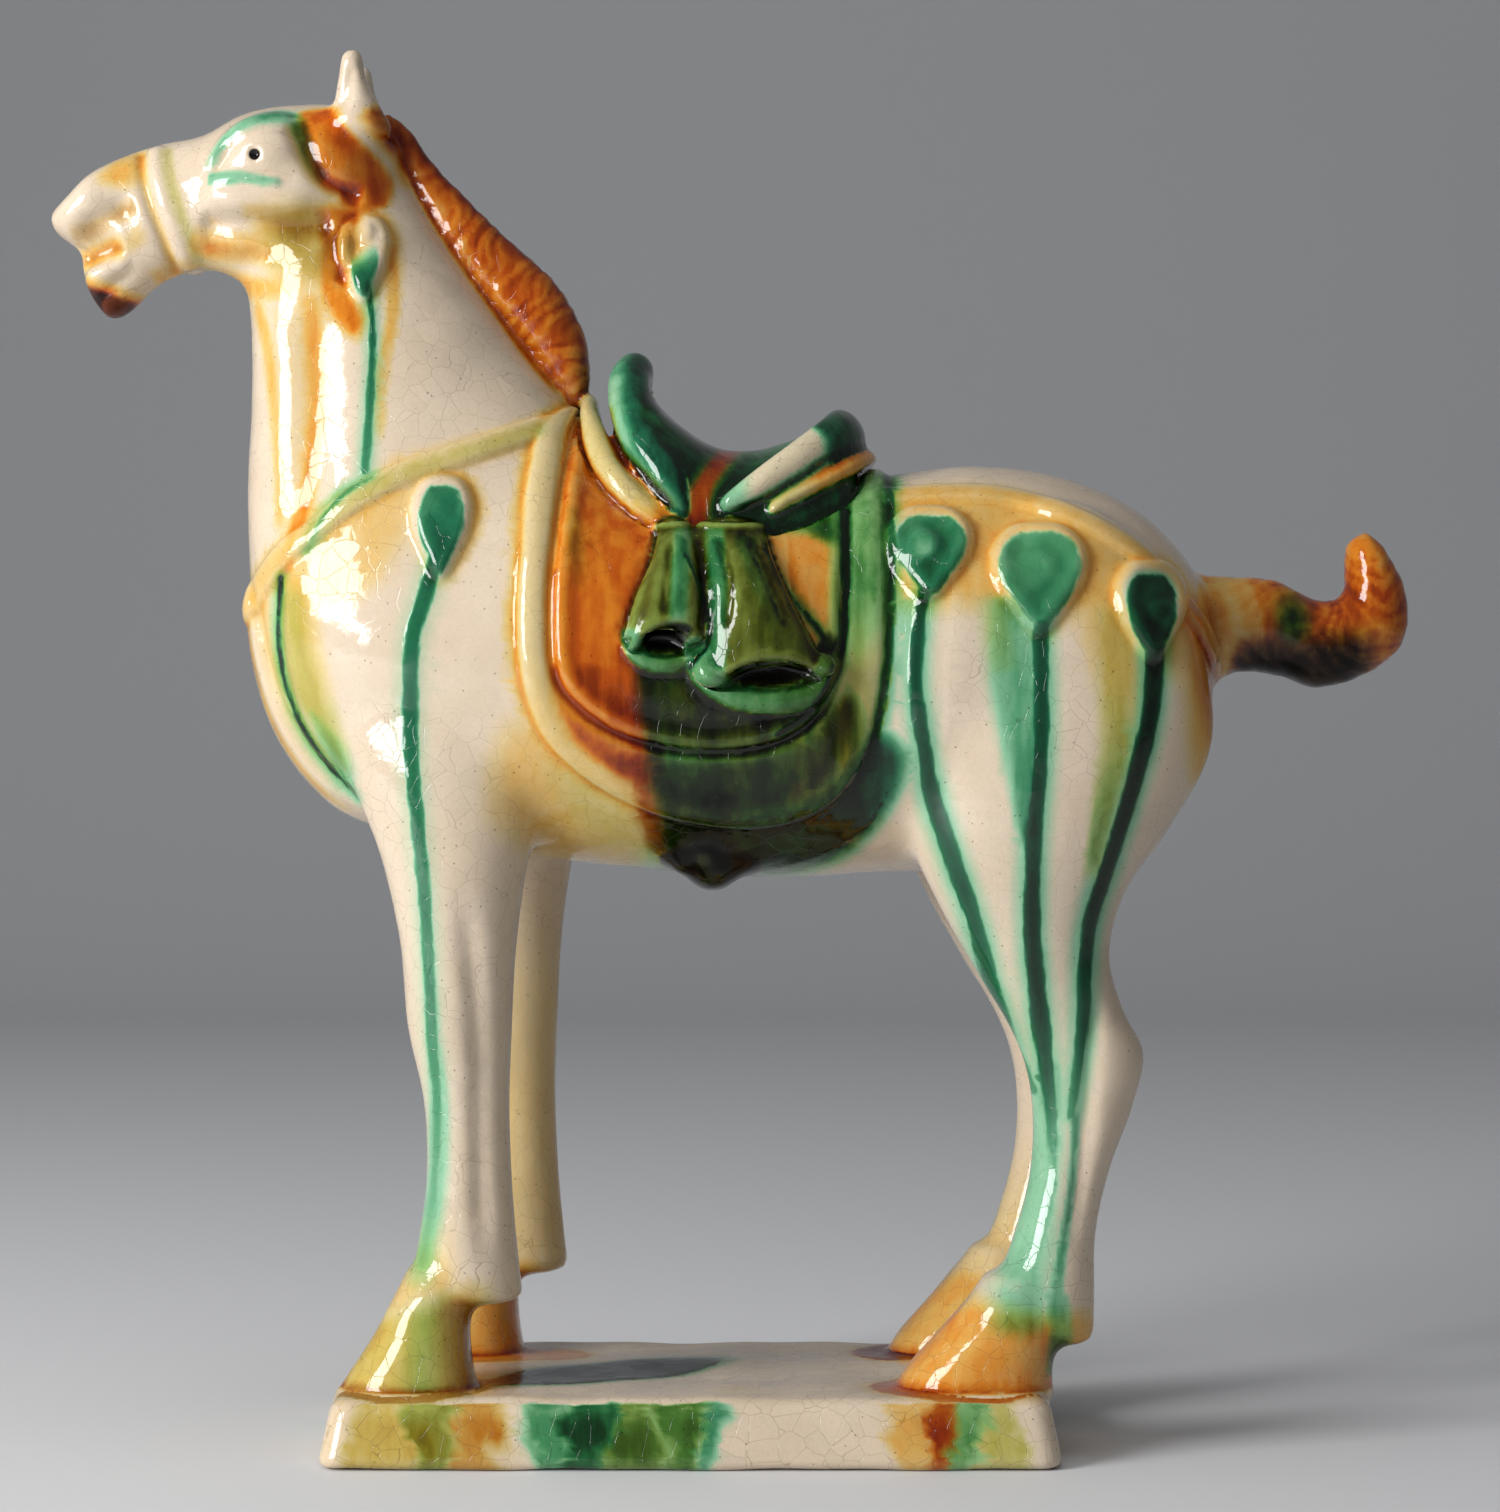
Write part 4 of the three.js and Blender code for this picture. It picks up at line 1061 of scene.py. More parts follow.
def glaze_pendants(glaze):
    """Green leaves with cream rims, and the greens that run down from them."""
    x, z = glaze.flat.T
    for pendant in PENDANTS:
        gap = leaf_distance(glaze.flat, pendant)
        low = fade(pendant["at"][1] - z, -5, 6)
        behind = fade(x - pendant["at"][0], -4, 4)
        rim = 0.4 + pendant["cap"] * (1 - low)
        inside = np.minimum(-gap - rim, 4 * (glaze.facing - 0.5))
        glaze.wash[:, AMBER] *= 1 - 0.9 * glaze.facing * fall(gap, -1.6, -0.3)
        cloudy = np.sin(1.1 * x + 0.6) * np.sin(0.9 * z)
        glaze.lay(GREEN, inside, pendant["green"] * (0.68 + 0.28 * low + 0.12 * behind + 0.09 * cloudy))
        glaze.tint(GREEN, 0.24 * glaze.facing * fall(gap, -2.4, -0.6))
        glaze.tint(BROWN, pendant.get("brown", 0) * glaze.facing * fall(gap, -3, -2))
        shade = glaze.facing * hill(gap, 0.9, 1.2) * (0.35 + 0.65 * behind) * (1 - 0.5 * low)
        glaze.tint(AMBER, 0.36 * shade)
    (knob_x, knob_z), (off_x, off_z) = PENDANTS[2]["at"], PENDANTS[2]["knob_at"]
    reach = np.hypot(x - knob_x - off_x, z - knob_z - off_z)
    glaze.depth[:, GREEN] *= 1 - 0.45 * glaze.facing * fall(reach, 0.8, 2.4)
    throat_x, throat_z = PENDANTS[0]["at"]
    above = z - throat_z - 0.5 * (x - throat_x)
    on_top = glaze.facing * (np.abs(x - throat_x) < 5) * (np.abs(z - throat_z) < 9)
    glaze.depth[:, GREEN] *= 1 - on_top * fade(above, -3.5, 2.5)
    glaze.wash[:, GREEN] *= 1 - on_top * fade(above, -3.5, 0.5)
    glaze.run(GREEN, [(-43.4, 158), (-45.4, 151), (-47.5, 144), (-48.4, 134), (-48, 120), (-46.4, 104),
                      (-45.4, 90), (-44.8, 74), (-44, 62), (-44.6, 48), (-46.6, 34)],
              [2.8, 3, 3, 3, 2.8, 2.4, 2.2, 2, 2, 1.8],
              [0.86, 0.72, 0.7, 0.68, 0.64, 0.58, 0.52, 0.42, 0.34, 0.2], 0.1, 3)
    glaze.streak(GREEN, [(-46.4, 106), (-45.4, 90), (-44.6, 74), (-43.8, 62), (-44.4, 48), (-46.4, 36),
                         (-47.6, 28)], [3, 4, 5, 6, 6.4], [0.16, 0.24, 0.28, 0.26, 0.14])
    glaze.run(GREEN, [(40.8, 153), (39.4, 146), (38.6, 135.6), (39.8, 125.7), (41.7, 115.2), (45.3, 104),
                      (48.8, 94.1), (52, 82.9), (55.6, 73.4), (59.6, 64)],
              [2.2, 2.5, 2.7, 3, 3.2, 3, 2.5, 1.8], [0.86, 0.86, 0.84, 0.84, 0.82, 0.74, 0.64, 0.44], 0.22,
              3)
    glaze.run(GREEN, [(60, 146), (60, 125.7), (58.7, 105.9), (58.9, 89.4), (60.6, 75.1), (62, 64),
                      (62.7, 54)], [2.8, 2.9, 3.1, 3.4, 2.8, 1.8], [0.8, 0.88, 0.98, 0.98, 0.76, 0.4], 0.22,
              3)
    glaze.streak(GREEN, [(55.6, 151), (55.8, 136), (57.2, 120), (58.4, 104)], [13, 11, 7.5, 3],
                 [0.26, 0.36, 0.46, 0.6])
    glaze.streak(AMBER, [(52, 152), (52.6, 143), (54, 136)], 6, [0.24, 0.2, 0.1])
    rear_run = [(80, 143), (78.8, 129), (75.4, 115.8), (72, 104), (68.8, 92.9), (67.8, 79.6), (67, 70),
                (65.6, 60)]
    glaze.run(GREEN, rear_run, [3.8, 3.2, 3, 3, 2.4, 1.6], [1, 1, 0.98, 0.94, 0.76, 0.45], 0.24, 3)
    glaze.streak(BROWN, rear_run[:5], 3.4, [0.2, 0.34, 0.3, 0.14])
    for colour, depths in ((AMBER, [0.36, 0.42, 0.4, 0.36, 0.3]), (GREEN, [0.06, 0.09, 0.18, 0.3, 0.32]),
                           (BROWN, [0, 0.02, 0.06, 0.1, 0.1])):
        glaze.streak(colour, [(72.4, 150), (73.2, 136), (72.8, 124), (70.6, 112), (68.6, 100)],
                     [8, 8.6, 6.4, 4.4, 3], depths)


def glaze_harness(glaze):
    """Amber along the breast collar, the chest and the crupper."""
    x, z = glaze.flat.T
    glaze.streak(AMBER, COLLAR_LINE, [5.6, 5.6, 6, 6.6, 6.6], 0.36)
    glaze.streak(GREEN, COLLAR_LINE[:5], 4, 0.1)
    glaze.run(GREEN, [(-66.6, 158.4), (-64, 163.4), (-60, 168), (-55.4, 170.6)], [0.8, 1.4, 1.1],
              [0.2, 0.46, 0.4], 0.2, 2.6)
    glaze.cloud(AMBER, [(-69, 156), (-58, 167), (-50, 170), (-50, 160), (-56, 151), (-66, 148)], 0.27, 3)
    on_chest = fall(x, -66, -58) * fade(z, 106, 116)
    on_chest *= fall(z, 150, 158)
    across = np.abs(glaze.points[:, 1])
    glaze.tint(AMBER, on_chest * 0.5 * hill(across, 8.6, 2.2))
    glaze.tint(AMBER, on_chest * 0.36 * hill(across, 15.6, 2.4))
    glaze.tint(AMBER, on_chest * 0.3 * hill(across, 0, 3))
    glaze.run(GREEN, CHEST_FOLD, [0.8, 1.1, 1.1, 1.2, 1], 1.05, 0.24, 2)
    glaze.cloud(GREEN, [(-71, 151), (-68, 151), (-66.4, 143), (-64, 134), (-61, 126), (-59.6, 117),
                        (-64, 122), (-70, 130), (-72, 142)], 0.13, 2.4)
    glaze.cloud(AMBER, [(-71, 154), (-67, 154), (-65, 142), (-63, 132), (-60.6, 120), (-66, 126),
                        (-71, 134)], 0.42, 2.6)
    glaze.cloud(GREEN, [(-66.6, 130), (-62, 125), (-59.6, 118), (-62, 117)], 0.4, 3)
    glaze.streak(AMBER, CRUPPER_LINE, [4.4, 4.4, 5, 6], 0.42)
    glaze.cloud(AMBER, [(34, 167), (46, 168), (58, 167), (70, 161), (84, 150), (90, 142), (88, 132),
                        (84, 136), (72, 144), (68, 146), (50, 148), (36, 149), (34, 158)], 0.37, 4)
    glaze.streak(AMBER, [(69.6, 152), (69.8, 142), (70.4, 132)], [8, 6, 4], [0.34, 0.26, 0.1])
    glaze.cloud(AMBER, [(86, 150), (92, 152), (94, 138), (92, 124), (88, 118), (86, 134)], 0.6, 3)
    glaze.cloud(BROWN, [(87, 148), (93, 149), (94, 136), (91, 126), (87.6, 134)], 0.24, 2.5)


def glaze_blanket(glaze):
    """Orange field, green and cream border, the dark run under the knotted cloth, and green under the belly
    deepened by painted shade.
    """
    flat = glaze.flat
    x, z = flat.T
    edge = outline_distance(flat, BLANKET_EDGE)
    field = outline_distance(flat, BLANKET_GROOVE)
    where = np.maximum(glaze.facing, fade(z, 160, 168))
    in_field = where * fall(field, -1.2, 0.4)
    on_border = where * (edge < 1.5) * fade(field, -0.6, 0.6)
    left = fall(x, -9, -2)
    low = fall(z, 126, 140)
    glaze.tint(AMBER, in_field * (0.78 + 0.06 * np.sin(x / 2.1) - 0.22 * fade(x, 10, 16)))
    glaze.tint(AMBER, where * left * 0.86 * hill(field, -2.1, 1.4))
    glaze.tint(BROWN, in_field * left * (0.03 + 0.13 * fall(z, 130, 146)))
    ran_over = [(-24, 138), (-21.6, 128), (-17, 122), (-10.6, 118), (-5, 118), (-8, 136)]
    glaze.cloud(AMBER, ran_over, 0.86, 1.6)
    glaze.cloud(BROWN, [(-15, 130), (-13, 120), (-8, 115), (-5, 118), (-7, 134)], 0.24, 3)
    glaze.streak(GREEN, [(-20.4, 166), (-19.8, 158), (-19, 150)], 3.4, [0.08, 0.14, 0.04], where=where)
    glaze.tint(AMBER, where * left * 0.5 * hill(field, 0.4, 1.3))
    glaze.tint(AMBER, where * left * 0.42 * hill(edge, 0.4, 1.2))
    glaze.tint(AMBER, on_border * left * (0.19 + 0.16 * low))
    glaze.tint(GREEN, on_border * left * 0.02)
    right = fade(x, 16, 24)
    high = fade(z, 134, 146)
    glaze.tint(GREEN, on_border * right * (0.12 + 0.36 * fade(z, 136, 152)))
    glaze.tint(AMBER, on_border * right * 0.3)
    glaze.run(GREEN, [(26.6, 178), (26.6, 166), (26.6, 152), (25.6, 140), (21.6, 131), (15, 126)],
              [2.2, 2.2, 2, 1.6], 1.05, 0.35, 2, where=where)
    glaze.run(GREEN, [(34.4, 172), (34.6, 162), (34.4, 148), (33.2, 133), (30, 121), (22.6, 112.4),
                      (10, 109)], [1.8, 1.6, 1.8, 2, 2.2], 0.8, 0.24, 2.4, where=where)
    glaze.cloud(GREEN, [(13, 168), (26, 170), (27, 158), (21, 161), (14, 162.6)], 0.75, 1.6)
    glaze.tint(GREEN, where * right * high * 0.4 * hill(field, -1.4, 1.4))
    glaze_dark_run(glaze)
    glaze.cloud(AMBER, [(-30, 128), (-12, 118), (-4, 106), (-8, 102), (-24, 104), (-34, 112)], 0.3, 4)
    glaze.cloud(GREEN, [(-24, 120), (-12, 116), (-6, 106), (-16, 106)], 0.07, 4)
    # The green under the belly is dark green glaze, deepened here, with the brown over it, as painted shade
    # of the underside.
    glaze.cloud(GREEN, [(8, 112), (22, 116), (32, 126), (36.4, 122), (32.6, 112), (24, 104), (10, 102)],
                0.95, 3)
    glaze.cloud(BROWN, [(10, 110), (22, 112), (30, 118), (32, 112), (24, 105), (10, 102)], 0.2, 3)
    glaze.run(GREEN, [(33.8, 116), (31.4, 111.6), (27.4, 108), (21, 104.6), (15, 102.6)], [1, 1.8, 1.6, 1],
              0.95, 0.3, 2)
    glaze.cloud(AMBER, [(12, 108), (24, 108), (30, 116), (26, 104), (14, 101)], 0.3, 3)
    hanging = np.min([np.linalg.norm((glaze.points - drop["place"]) / drop["radii"], axis=1)
                      for drop in DRIPS], axis=0)
    for colour, depth in ((GREEN, 0.9), (AMBER, 0.9), (BROWN, 0.75)):
        glaze.tint(colour, depth * fall(hanging, 1.1, 1.6))
    belly = hill(x, 3, 9) * fall(z, 104, 112)
    belly *= fade(z, 90, 100)
    glaze.tint(GREEN, 0.7 * belly)
    glaze.tint(AMBER, 0.7 * belly)


def glaze_dark_run(glaze):
    """Green, amber and brown that ran together below the knotted cloth, in upright veins."""
    x, z = glaze.flat.T
    veins = np.sin(1.15 * x + 0.8 * np.sin(z / 7)) * np.sin(0.47 * x + 2)
    green_side = fade(x, -7, -3) * (1 - 0.6 * fade(x, -1, 4))
    low = fall(z, 112, 128)
    glaze.cloud(GREEN, [(-7.4, 140), (-7.4, 124), (-5, 112), (-3.4, 102), (11, 101), (14, 110), (20, 120),
                        (22, 132)], 0.6 + 0.14 * low + 0.1 * veins, 1.8)
    glaze.cloud(AMBER, [(-13, 136), (-12, 124), (-9, 112), (-5, 102), (10, 102), (12, 114), (17, 124),
                        (19, 134)], 0.66 - 0.42 * green_side * (1 - 0.6 * low) - 0.14 * veins, 2.4)
    glaze.cloud(BROWN, [(-10, 134), (-8.4, 121), (-4.4, 108), (-1, 101), (7, 101), (8.4, 112), (11, 124),
                        (13, 131)], 0.14 + 0.3 * low + 0.1 * veins, 2)
    glaze.streak(BROWN, [(-9.4, 141), (-9, 128), (-7.4, 116), (-4.6, 104)], [3, 5, 6, 6], [0.2, 0.46, 0.5])
    corner = [(10, 133), (20, 130), (27.6, 133), (30.4, 126), (28, 116), (21, 110.6), (9, 110), (6, 122)]
    glaze.cloud(GREEN, corner, 0.5 + 0.1 * veins, 2.4)
    glaze.cloud(AMBER, corner, 0.62 - 0.12 * veins, 2.4)
    glaze.cloud(BROWN, corner, 0.26 + 0.1 * veins, 3)


def glaze_saddle(glaze, shares):
    """Green arches, with painted light and shade on the pommel and painted shade on the cantle's back, an
    orange and green seat, and cream and amber rolls.
    """
    x, z = glaze.flat.T
    seat, pommel, cantle, rolls = (shares[name] for name in SADDLE_PARTS)
    front_line = np.interp(z, [164.6, 169.6, 175.5, 184.4, 192], [-2.8, -7.2, -12.9, -15.4, -15])
    # The pommel's green is thin on its front crest, where the glaze runs off, and grows darker towards its
    # back. The light front and dark back are also painted light and shade, and the seat's green takes the
    # same.
    pommel_green_and_painted_light = 0.34 + 0.58 * fade(x - front_line, 1.6, 4.8) + 0.34 * fall(z, 167, 181)
    pommel_green_and_painted_light += 0.24 * fade(z, 188.4, 191.6)
    pommel_green_and_painted_light -= 0.34 * fade(x, 6, 12)
    glaze.tint(GREEN, pommel * pommel_green_and_painted_light)
    behind_roll = fade(x - front_line, 0.4, 1.8)
    sloping = x - 0.62 * (z - 165)
    green_part = np.maximum(fall(sloping, -4.6, -1.4), fade(sloping, 0.2, 3.8) * fade(x, 2, 5)) * behind_roll
    glaze.tint(GREEN, seat * pommel_green_and_painted_light * green_part)
    glaze.tint(AMBER, seat * (0.8 - 0.6 * green_part))
    glaze.tint(BROWN, seat * 0.3 * (1 - green_part))
    # The cantle's upper back is green glaze, made near black with brown as painted shade where it turns
    # away.
    upper = x + 0.5 * z + 0.7 * np.sin(z / 1.3)
    glaze.tint(GREEN, cantle * (0.03 + 1.05 * fade(upper, 110, 113)))
    glaze.tint(BROWN, cantle * 0.2 * fade(upper, 112, 116))
    glaze.tint(GREEN, cantle * 0.5 * fall(x, 6, 12))
    glaze.tint(AMBER, cantle * 0.05)
    front = rolls * (x < 4)
    rear = rolls * (x > 4)
    glaze.tint(AMBER, front * (0.3 + 0.4 * fall(z, 163, 168)))
    glaze.tint(AMBER, rear * (0.34 + 0.36 * fade(x, 19, 25)))
    glaze.tint(GREEN, front * 0.06 + rear * 0.1 * fall(x, 17, 23))
    pommel_foot = [(-15.4, 184.4), (-12.9, 175.5), (-7.2, 169.6), (-2.8, 164.6)]
    glaze.streak(AMBER, pommel_foot, 2.8, 0.85)
    glaze.streak(BROWN, pommel_foot, 1.4, 0.24)
    glaze.streak(AMBER, [(-20.6, 183), (-18.6, 175), (-14.4, 168.4), (-9.4, 163.4)], 1.8, 0.8)
    glaze.streak(BROWN, [(-6.4, 162), (-8.2, 155), (-10.8, 148), (-12.8, 142)], 1.8, [0.2, 0.4, 0.4])
    under_rear_roll = [(6, 164.4), (12, 166.6), (19, 171), (26, 176)]
    glaze.streak(GREEN, under_rear_roll, 2.2, 0.6)
    glaze.streak(BROWN, under_rear_roll, 1.6, 0.3)


def glaze_folds(glaze, folds):
    """Olive, teal, green and brown pleats, pale along their upper edges, and dark mouths, painted dark as
    the shade inside them, with green lips.
    """
    flat = glaze.flat
    x, z = flat.T
    glaze.tint(AMBER, folds * (0.6 + 0.14 * fade(x, 6, 14)))
    glaze.tint(GREEN, folds * (0.42 + 0.1 * fade(x, 6, 14)))
    glaze.tint(BROWN, folds * 0.2)
    top = folds * fall(np.abs(z - 162.4), 0.4, 1.6)
    glaze.streak(BROWN, [(-5.6, 161), (-6.8, 152), (-8.4, 145)], 3.4, [0.2, 0.3, 0.3], where=folds)
    glaze.streak(GREEN, [(-5.4, 161), (-6.4, 152), (-7.4, 145)], 3.6, [0.46, 0.4, 0.36], where=folds)
    for line, widths in (([(-1.4, 160.6), (-1.8, 152), (-2, 145)], [2.6, 4.6, 5.4]),
                         ([(4.2, 161), (4.6, 150), (4.4, 142), (4.6, 136)], [4.4, 4.8, 5.4, 6])):
        glaze.streak(GREEN, line, widths, [0.8, 0.72, 0.66], where=folds)
        gap, along = line_distance(flat, line)
        in_stripe = folds * fall(gap, 0.8, 2.2)
        glaze.wash[:, AMBER] *= 1 - 0.7 * in_stripe
        glaze.wash[:, BROWN] *= 1 - 0.8 * in_stripe
    glaze.streak(BROWN, [(1, 160), (1.6, 152), (2.4, 144)], 2.6, [0.36, 0.42, 0.3], where=folds)
    glaze.streak(GREEN, [(9, 161), (12, 152), (15, 143)], 6.4, [0.7, 0.62, 0.56], where=folds)
    glaze.streak(BROWN, [(12.2, 160), (16, 151), (20.6, 143), (23, 138)], 6, [0.5, 0.42, 0.4], where=folds)
    glaze.streak(GREEN, [(12.6, 160), (18, 150), (23, 140)], 4, [0.7, 0.5, 0.3], where=folds)
    glaze.tint(AMBER, 0.6 * top)
    for mouth in MOUTHS:
        # The dark green and brown inside each mouth is painted shade, standing for the hollow inside the
        # cloth.
        inner = glaze.facing * fall(mouth_distance(flat, mouth), 0.75, 1.3)
        glaze.tint(GREEN, 0.8 * inner)
        glaze.tint(BROWN, 0.55 * inner)
        gap, along = line_distance(flat, mouth["lip"])
        on_lip = glaze.facing * fall(gap, 0.4 * mouth["thick"], 0.62 * mouth["thick"])
        glaze.wash[:, AMBER] *= 1 - 0.8 * on_lip
        glaze.wash[:, BROWN] *= 1 - 0.9 * on_lip
        glaze.wash[:, GREEN] *= 1 - 0.6 * on_lip
        glaze.tint(GREEN, on_lip * on_the_way(along, [0.54, 0.56, 0.66, 0.72, 0.7]))
        glaze.tint(AMBER, on_lip * on_the_way(along, [0.12, 0.16, 0.3, 0.5, 0.7]))
        glaze.tint(BROWN, on_lip * on_the_way(along, [0, 0.04, 0.1, 0.2, 0.36]))
    glaze.streak(AMBER, [(18.6, 137), (21.4, 138.4), (23.6, 141)], 3, 0.75)
    for line in FOLD_BACKS:
        glaze.run(GREEN, line, [0.8, 1.2, 1.2], 0.95, 0.3, 1.2)


def glaze_hair(glaze, mane, tail):
    """Deep orange mane and tail, darker along the mane's crest and under the tail, the dark under the tail
    partly painted shade, with painted highlights in dabs on the mane's locks.
    """
    flat = glaze.flat
    x, z = flat.T
    gap, along = line_distance(flat, MANE_CREST, HAIR_STEPS)
    inner, ignored = line_distance(flat, MANE_ROOT)
    # Lighter amber in dabs along the locks near the root: glaze thinner on the locks, and painted highlights
    # on them.
    thin_glaze_and_highlight_dabs = hill(inner, 2.6, 1.2) * (0.5 + 0.5 * np.sin(along * 60))
    front = fall(inner, 0.6, 3.4)
    crest = fall(gap, 0.4, 2)
    glaze.tint(AMBER, mane * (0.96 - 0.2 * thin_glaze_and_highlight_dabs - 0.26 * front))
    glaze.tint(BROWN, mane * (0.19 * (1 - front) + 0.14 * crest + 0.3 * fall(along, 0.02, 0.3)))
    glaze.streak(BROWN, MANE_ROOT, 0.9, [0.4, 0.16, 0.06, 0.06], where=np.maximum(mane, glaze.facing))
    glaze.streak(AMBER, MANE_ROOT, 2, 0.62, where=np.maximum(mane, glaze.facing))
    stripes = np.sin(1.5 * x + 0.5 * z)
    glaze.tint(AMBER, tail * (0.4 + 0.06 * stripes + 0.5 * fade(x, 96, 105)))
    # Brown on the tail's root, most of it low down, is thick glaze and partly painted shade under the tail.
    glaze.tint(BROWN, tail * 0.12 * fade(x, 97, 103) * (1 - 0.6 * fade(z, 150, 158)))
    glaze.tint(BROWN, tail * 0.26 * fade(x - 0.5 * np.abs(z - 152), 118, 123))
    glaze.tint(GREEN, tail * 0.9 * hill(x, 106.8, 2.6) * hill(z, 146, 4.6))
    # The dark underside of the tail is thick brown glaze, deepened as painted shade.
    lower = z - 0.16 * np.maximum(x - 108, 0)
    under = tail * fall(lower, 137.6, 146) * fade(x, 94, 101) * fall(x, 116, 125)
    glaze.tint(BROWN, 0.95 * under)
    glaze.tint(AMBER, tail * 0.9 * fade(under, 0, 0.3))
    glaze.tint(GREEN, 0.5 * under)


def glaze_legs(glaze):
    """Amber hooves with dark feet, and the mint glaze that gathers over the hind pasterns."""
    x, z = glaze.flat.T
    low = fade(z, PLINTH_HEIGHT + 0.2, PLINTH_HEIGHT + 1)
    fore = (x < 0) * low
    hind = (x > 0) * low
    near = glaze.points[:, 1] < 0
    fore_rim = np.interp(x, [-55, -46, -37], [24, 28, 30])
    hind_rim = np.interp(x, [41, 49, 60], [24, 27.6, 25])
    fore_hoof = fore * fall(z - fore_rim, -2, 3) * fall(x, -38, -32)
    hind_hoof = hind * fall(z - hind_rim, -2, 3)
    glaze.tint(AMBER, fore_hoof * (0.42 + 0.1 * fade(x, -46, -40)) + fore_hoof * 0.1 * ~near)
    glaze.tint(AMBER, hind_hoof * np.where(near, 0.58, 0.5))
    foot = fall(z, 12.6, 14.2)
    glaze.tint(BROWN, foot * np.maximum(0.3 * fore_hoof, 0.2 * hind_hoof))
    glaze.tint(AMBER, foot * 0.8 * np.maximum(fore_hoof, hind_hoof))
    glaze.tint(BROWN, near * fore_hoof * 0.2 * hill(x, -39, 2))
    glaze.tint(GREEN, near * fore_hoof * (0.08 + 0.12 * hill(x, -46, 3.6)))
    glaze.tint(AMBER, fore * 0.26 * fade(-z, -46, -30) * fall(x, -44, -38))
    glaze.tint(AMBER, fore * ~near * 0.2 * fade(-z, -112, -60))
    glaze.tint(AMBER, hind * ~near * 0.2 * fade(-z, -60, -30))
    glaze.streak(GREEN, [(62, 72), (61.8, 60), (60, 48), (58.6, 38), (57, 28), (56.4, 21)],
                 [5, 9, 12, 13, 13], [0.3, 0.26, 0.24, 0.26, 0.28])
    glaze.streak(GREEN, [(62.6, 58), (62.6, 48), (60.4, 38), (58.4, 28)], [2, 1.8, 2.2, 3],
                 [0.5, 0.38, 0.34, 0.3])
    glaze.streak(GREEN, [(66.4, 62), (66.2, 52), (65, 42), (63.4, 32), (62.6, 22)], [2.2, 1.8, 2.4, 3.4],
                 [0.5, 0.42, 0.44, 0.5])
    glaze.streak(GREEN, [(63.4, 30), (64, 22), (63.4, 14)], [4, 5, 5], [0.4, 0.5, 0.42])
    glaze.streak(AMBER, [(63.4, 26), (63.6, 20), (63, 14)], [5, 6, 5], 0.3)


def glaze_plinth(glaze, skin):
    """Cream plinth with coloured curtains down its long sides and pools on its top."""
    x, y, z = glaze.points.T
    normals = skin.normals()
    side_face = (z < PLINTH_HEIGHT + 0.6) * (normals[:, 2] < 0.75)
    long_side = side_face * (np.abs(y) > PLINTH_WIDTH / 2 - 4)
    ripple = 1.3 * np.sin(z * 0.8 + x * 0.5) * np.sin(x * 0.21)
    ripple += 2.4 * fall(z, 4.4, 5.6) * np.sin(x * 0.3)
    along = x + ripple + 14 * (y > 0)
    for start, end, *depths in PLINTH_BANDS:
        band = fade(along, start - 1.4, start + 1.4) * fall(along, end - 1.4, end + 1.4)
        for colour in (GREEN, AMBER, BROWN):
            glaze.tint(colour, long_side * band * depths[colour])
    short_side = side_face * (np.abs(x) > PLINTH_LENGTH / 2 - 4)
    glaze.tint(AMBER, short_side * 0.3 * hill(y, -14, 10))
    glaze.tint(GREEN, short_side * 0.45 * hill(y, 12, 5))
    top = fade(normals[:, 2], 0.6, 0.85) * (np.abs(z - PLINTH_HEIGHT) < 1.2)
    for pool in PLINTH_POOLS:
        turn = math.radians(pool["turn"])
        right, back = x - pool["at"][0], y - pool["at"][1]
        along_pool = (right * math.cos(turn) + back * math.sin(turn)) / pool["size"][0]
        across_pool = (back * math.cos(turn) - right * math.sin(turn)) / pool["size"][1]
        away = np.hypot(along_pool, across_pool)
        for colour in (GREEN, AMBER, BROWN):
            depth = pool["depths"][colour]
            if depth > 0:
                inside = (1 - away) * min(pool["size"])
                glaze.lay(colour, np.minimum(inside, 4 * (top - 0.5)), depth * (0.75 + 0.25 * (1 - away)))
                glaze.tint(colour, 0.3 * depth * top * fall(away, 0.9, 1.25))
    rim = top * (fade(np.abs(x), PLINTH_LENGTH / 2 - 8, PLINTH_LENGTH / 2 - 3))
    glaze.tint(AMBER, 0.16 * rim)


def store(mesh, name, values):
    """Keeps values on the points of a mesh: three of them as a vector, one as a number."""
    kind, key = ("FLOAT_VECTOR", "vector") if values.ndim == 2 else ("FLOAT", "value")
    attribute = mesh.attributes.new(name, kind, "POINT")
    attribute.data.foreach_set(key, values.astype(np.float32).ravel())


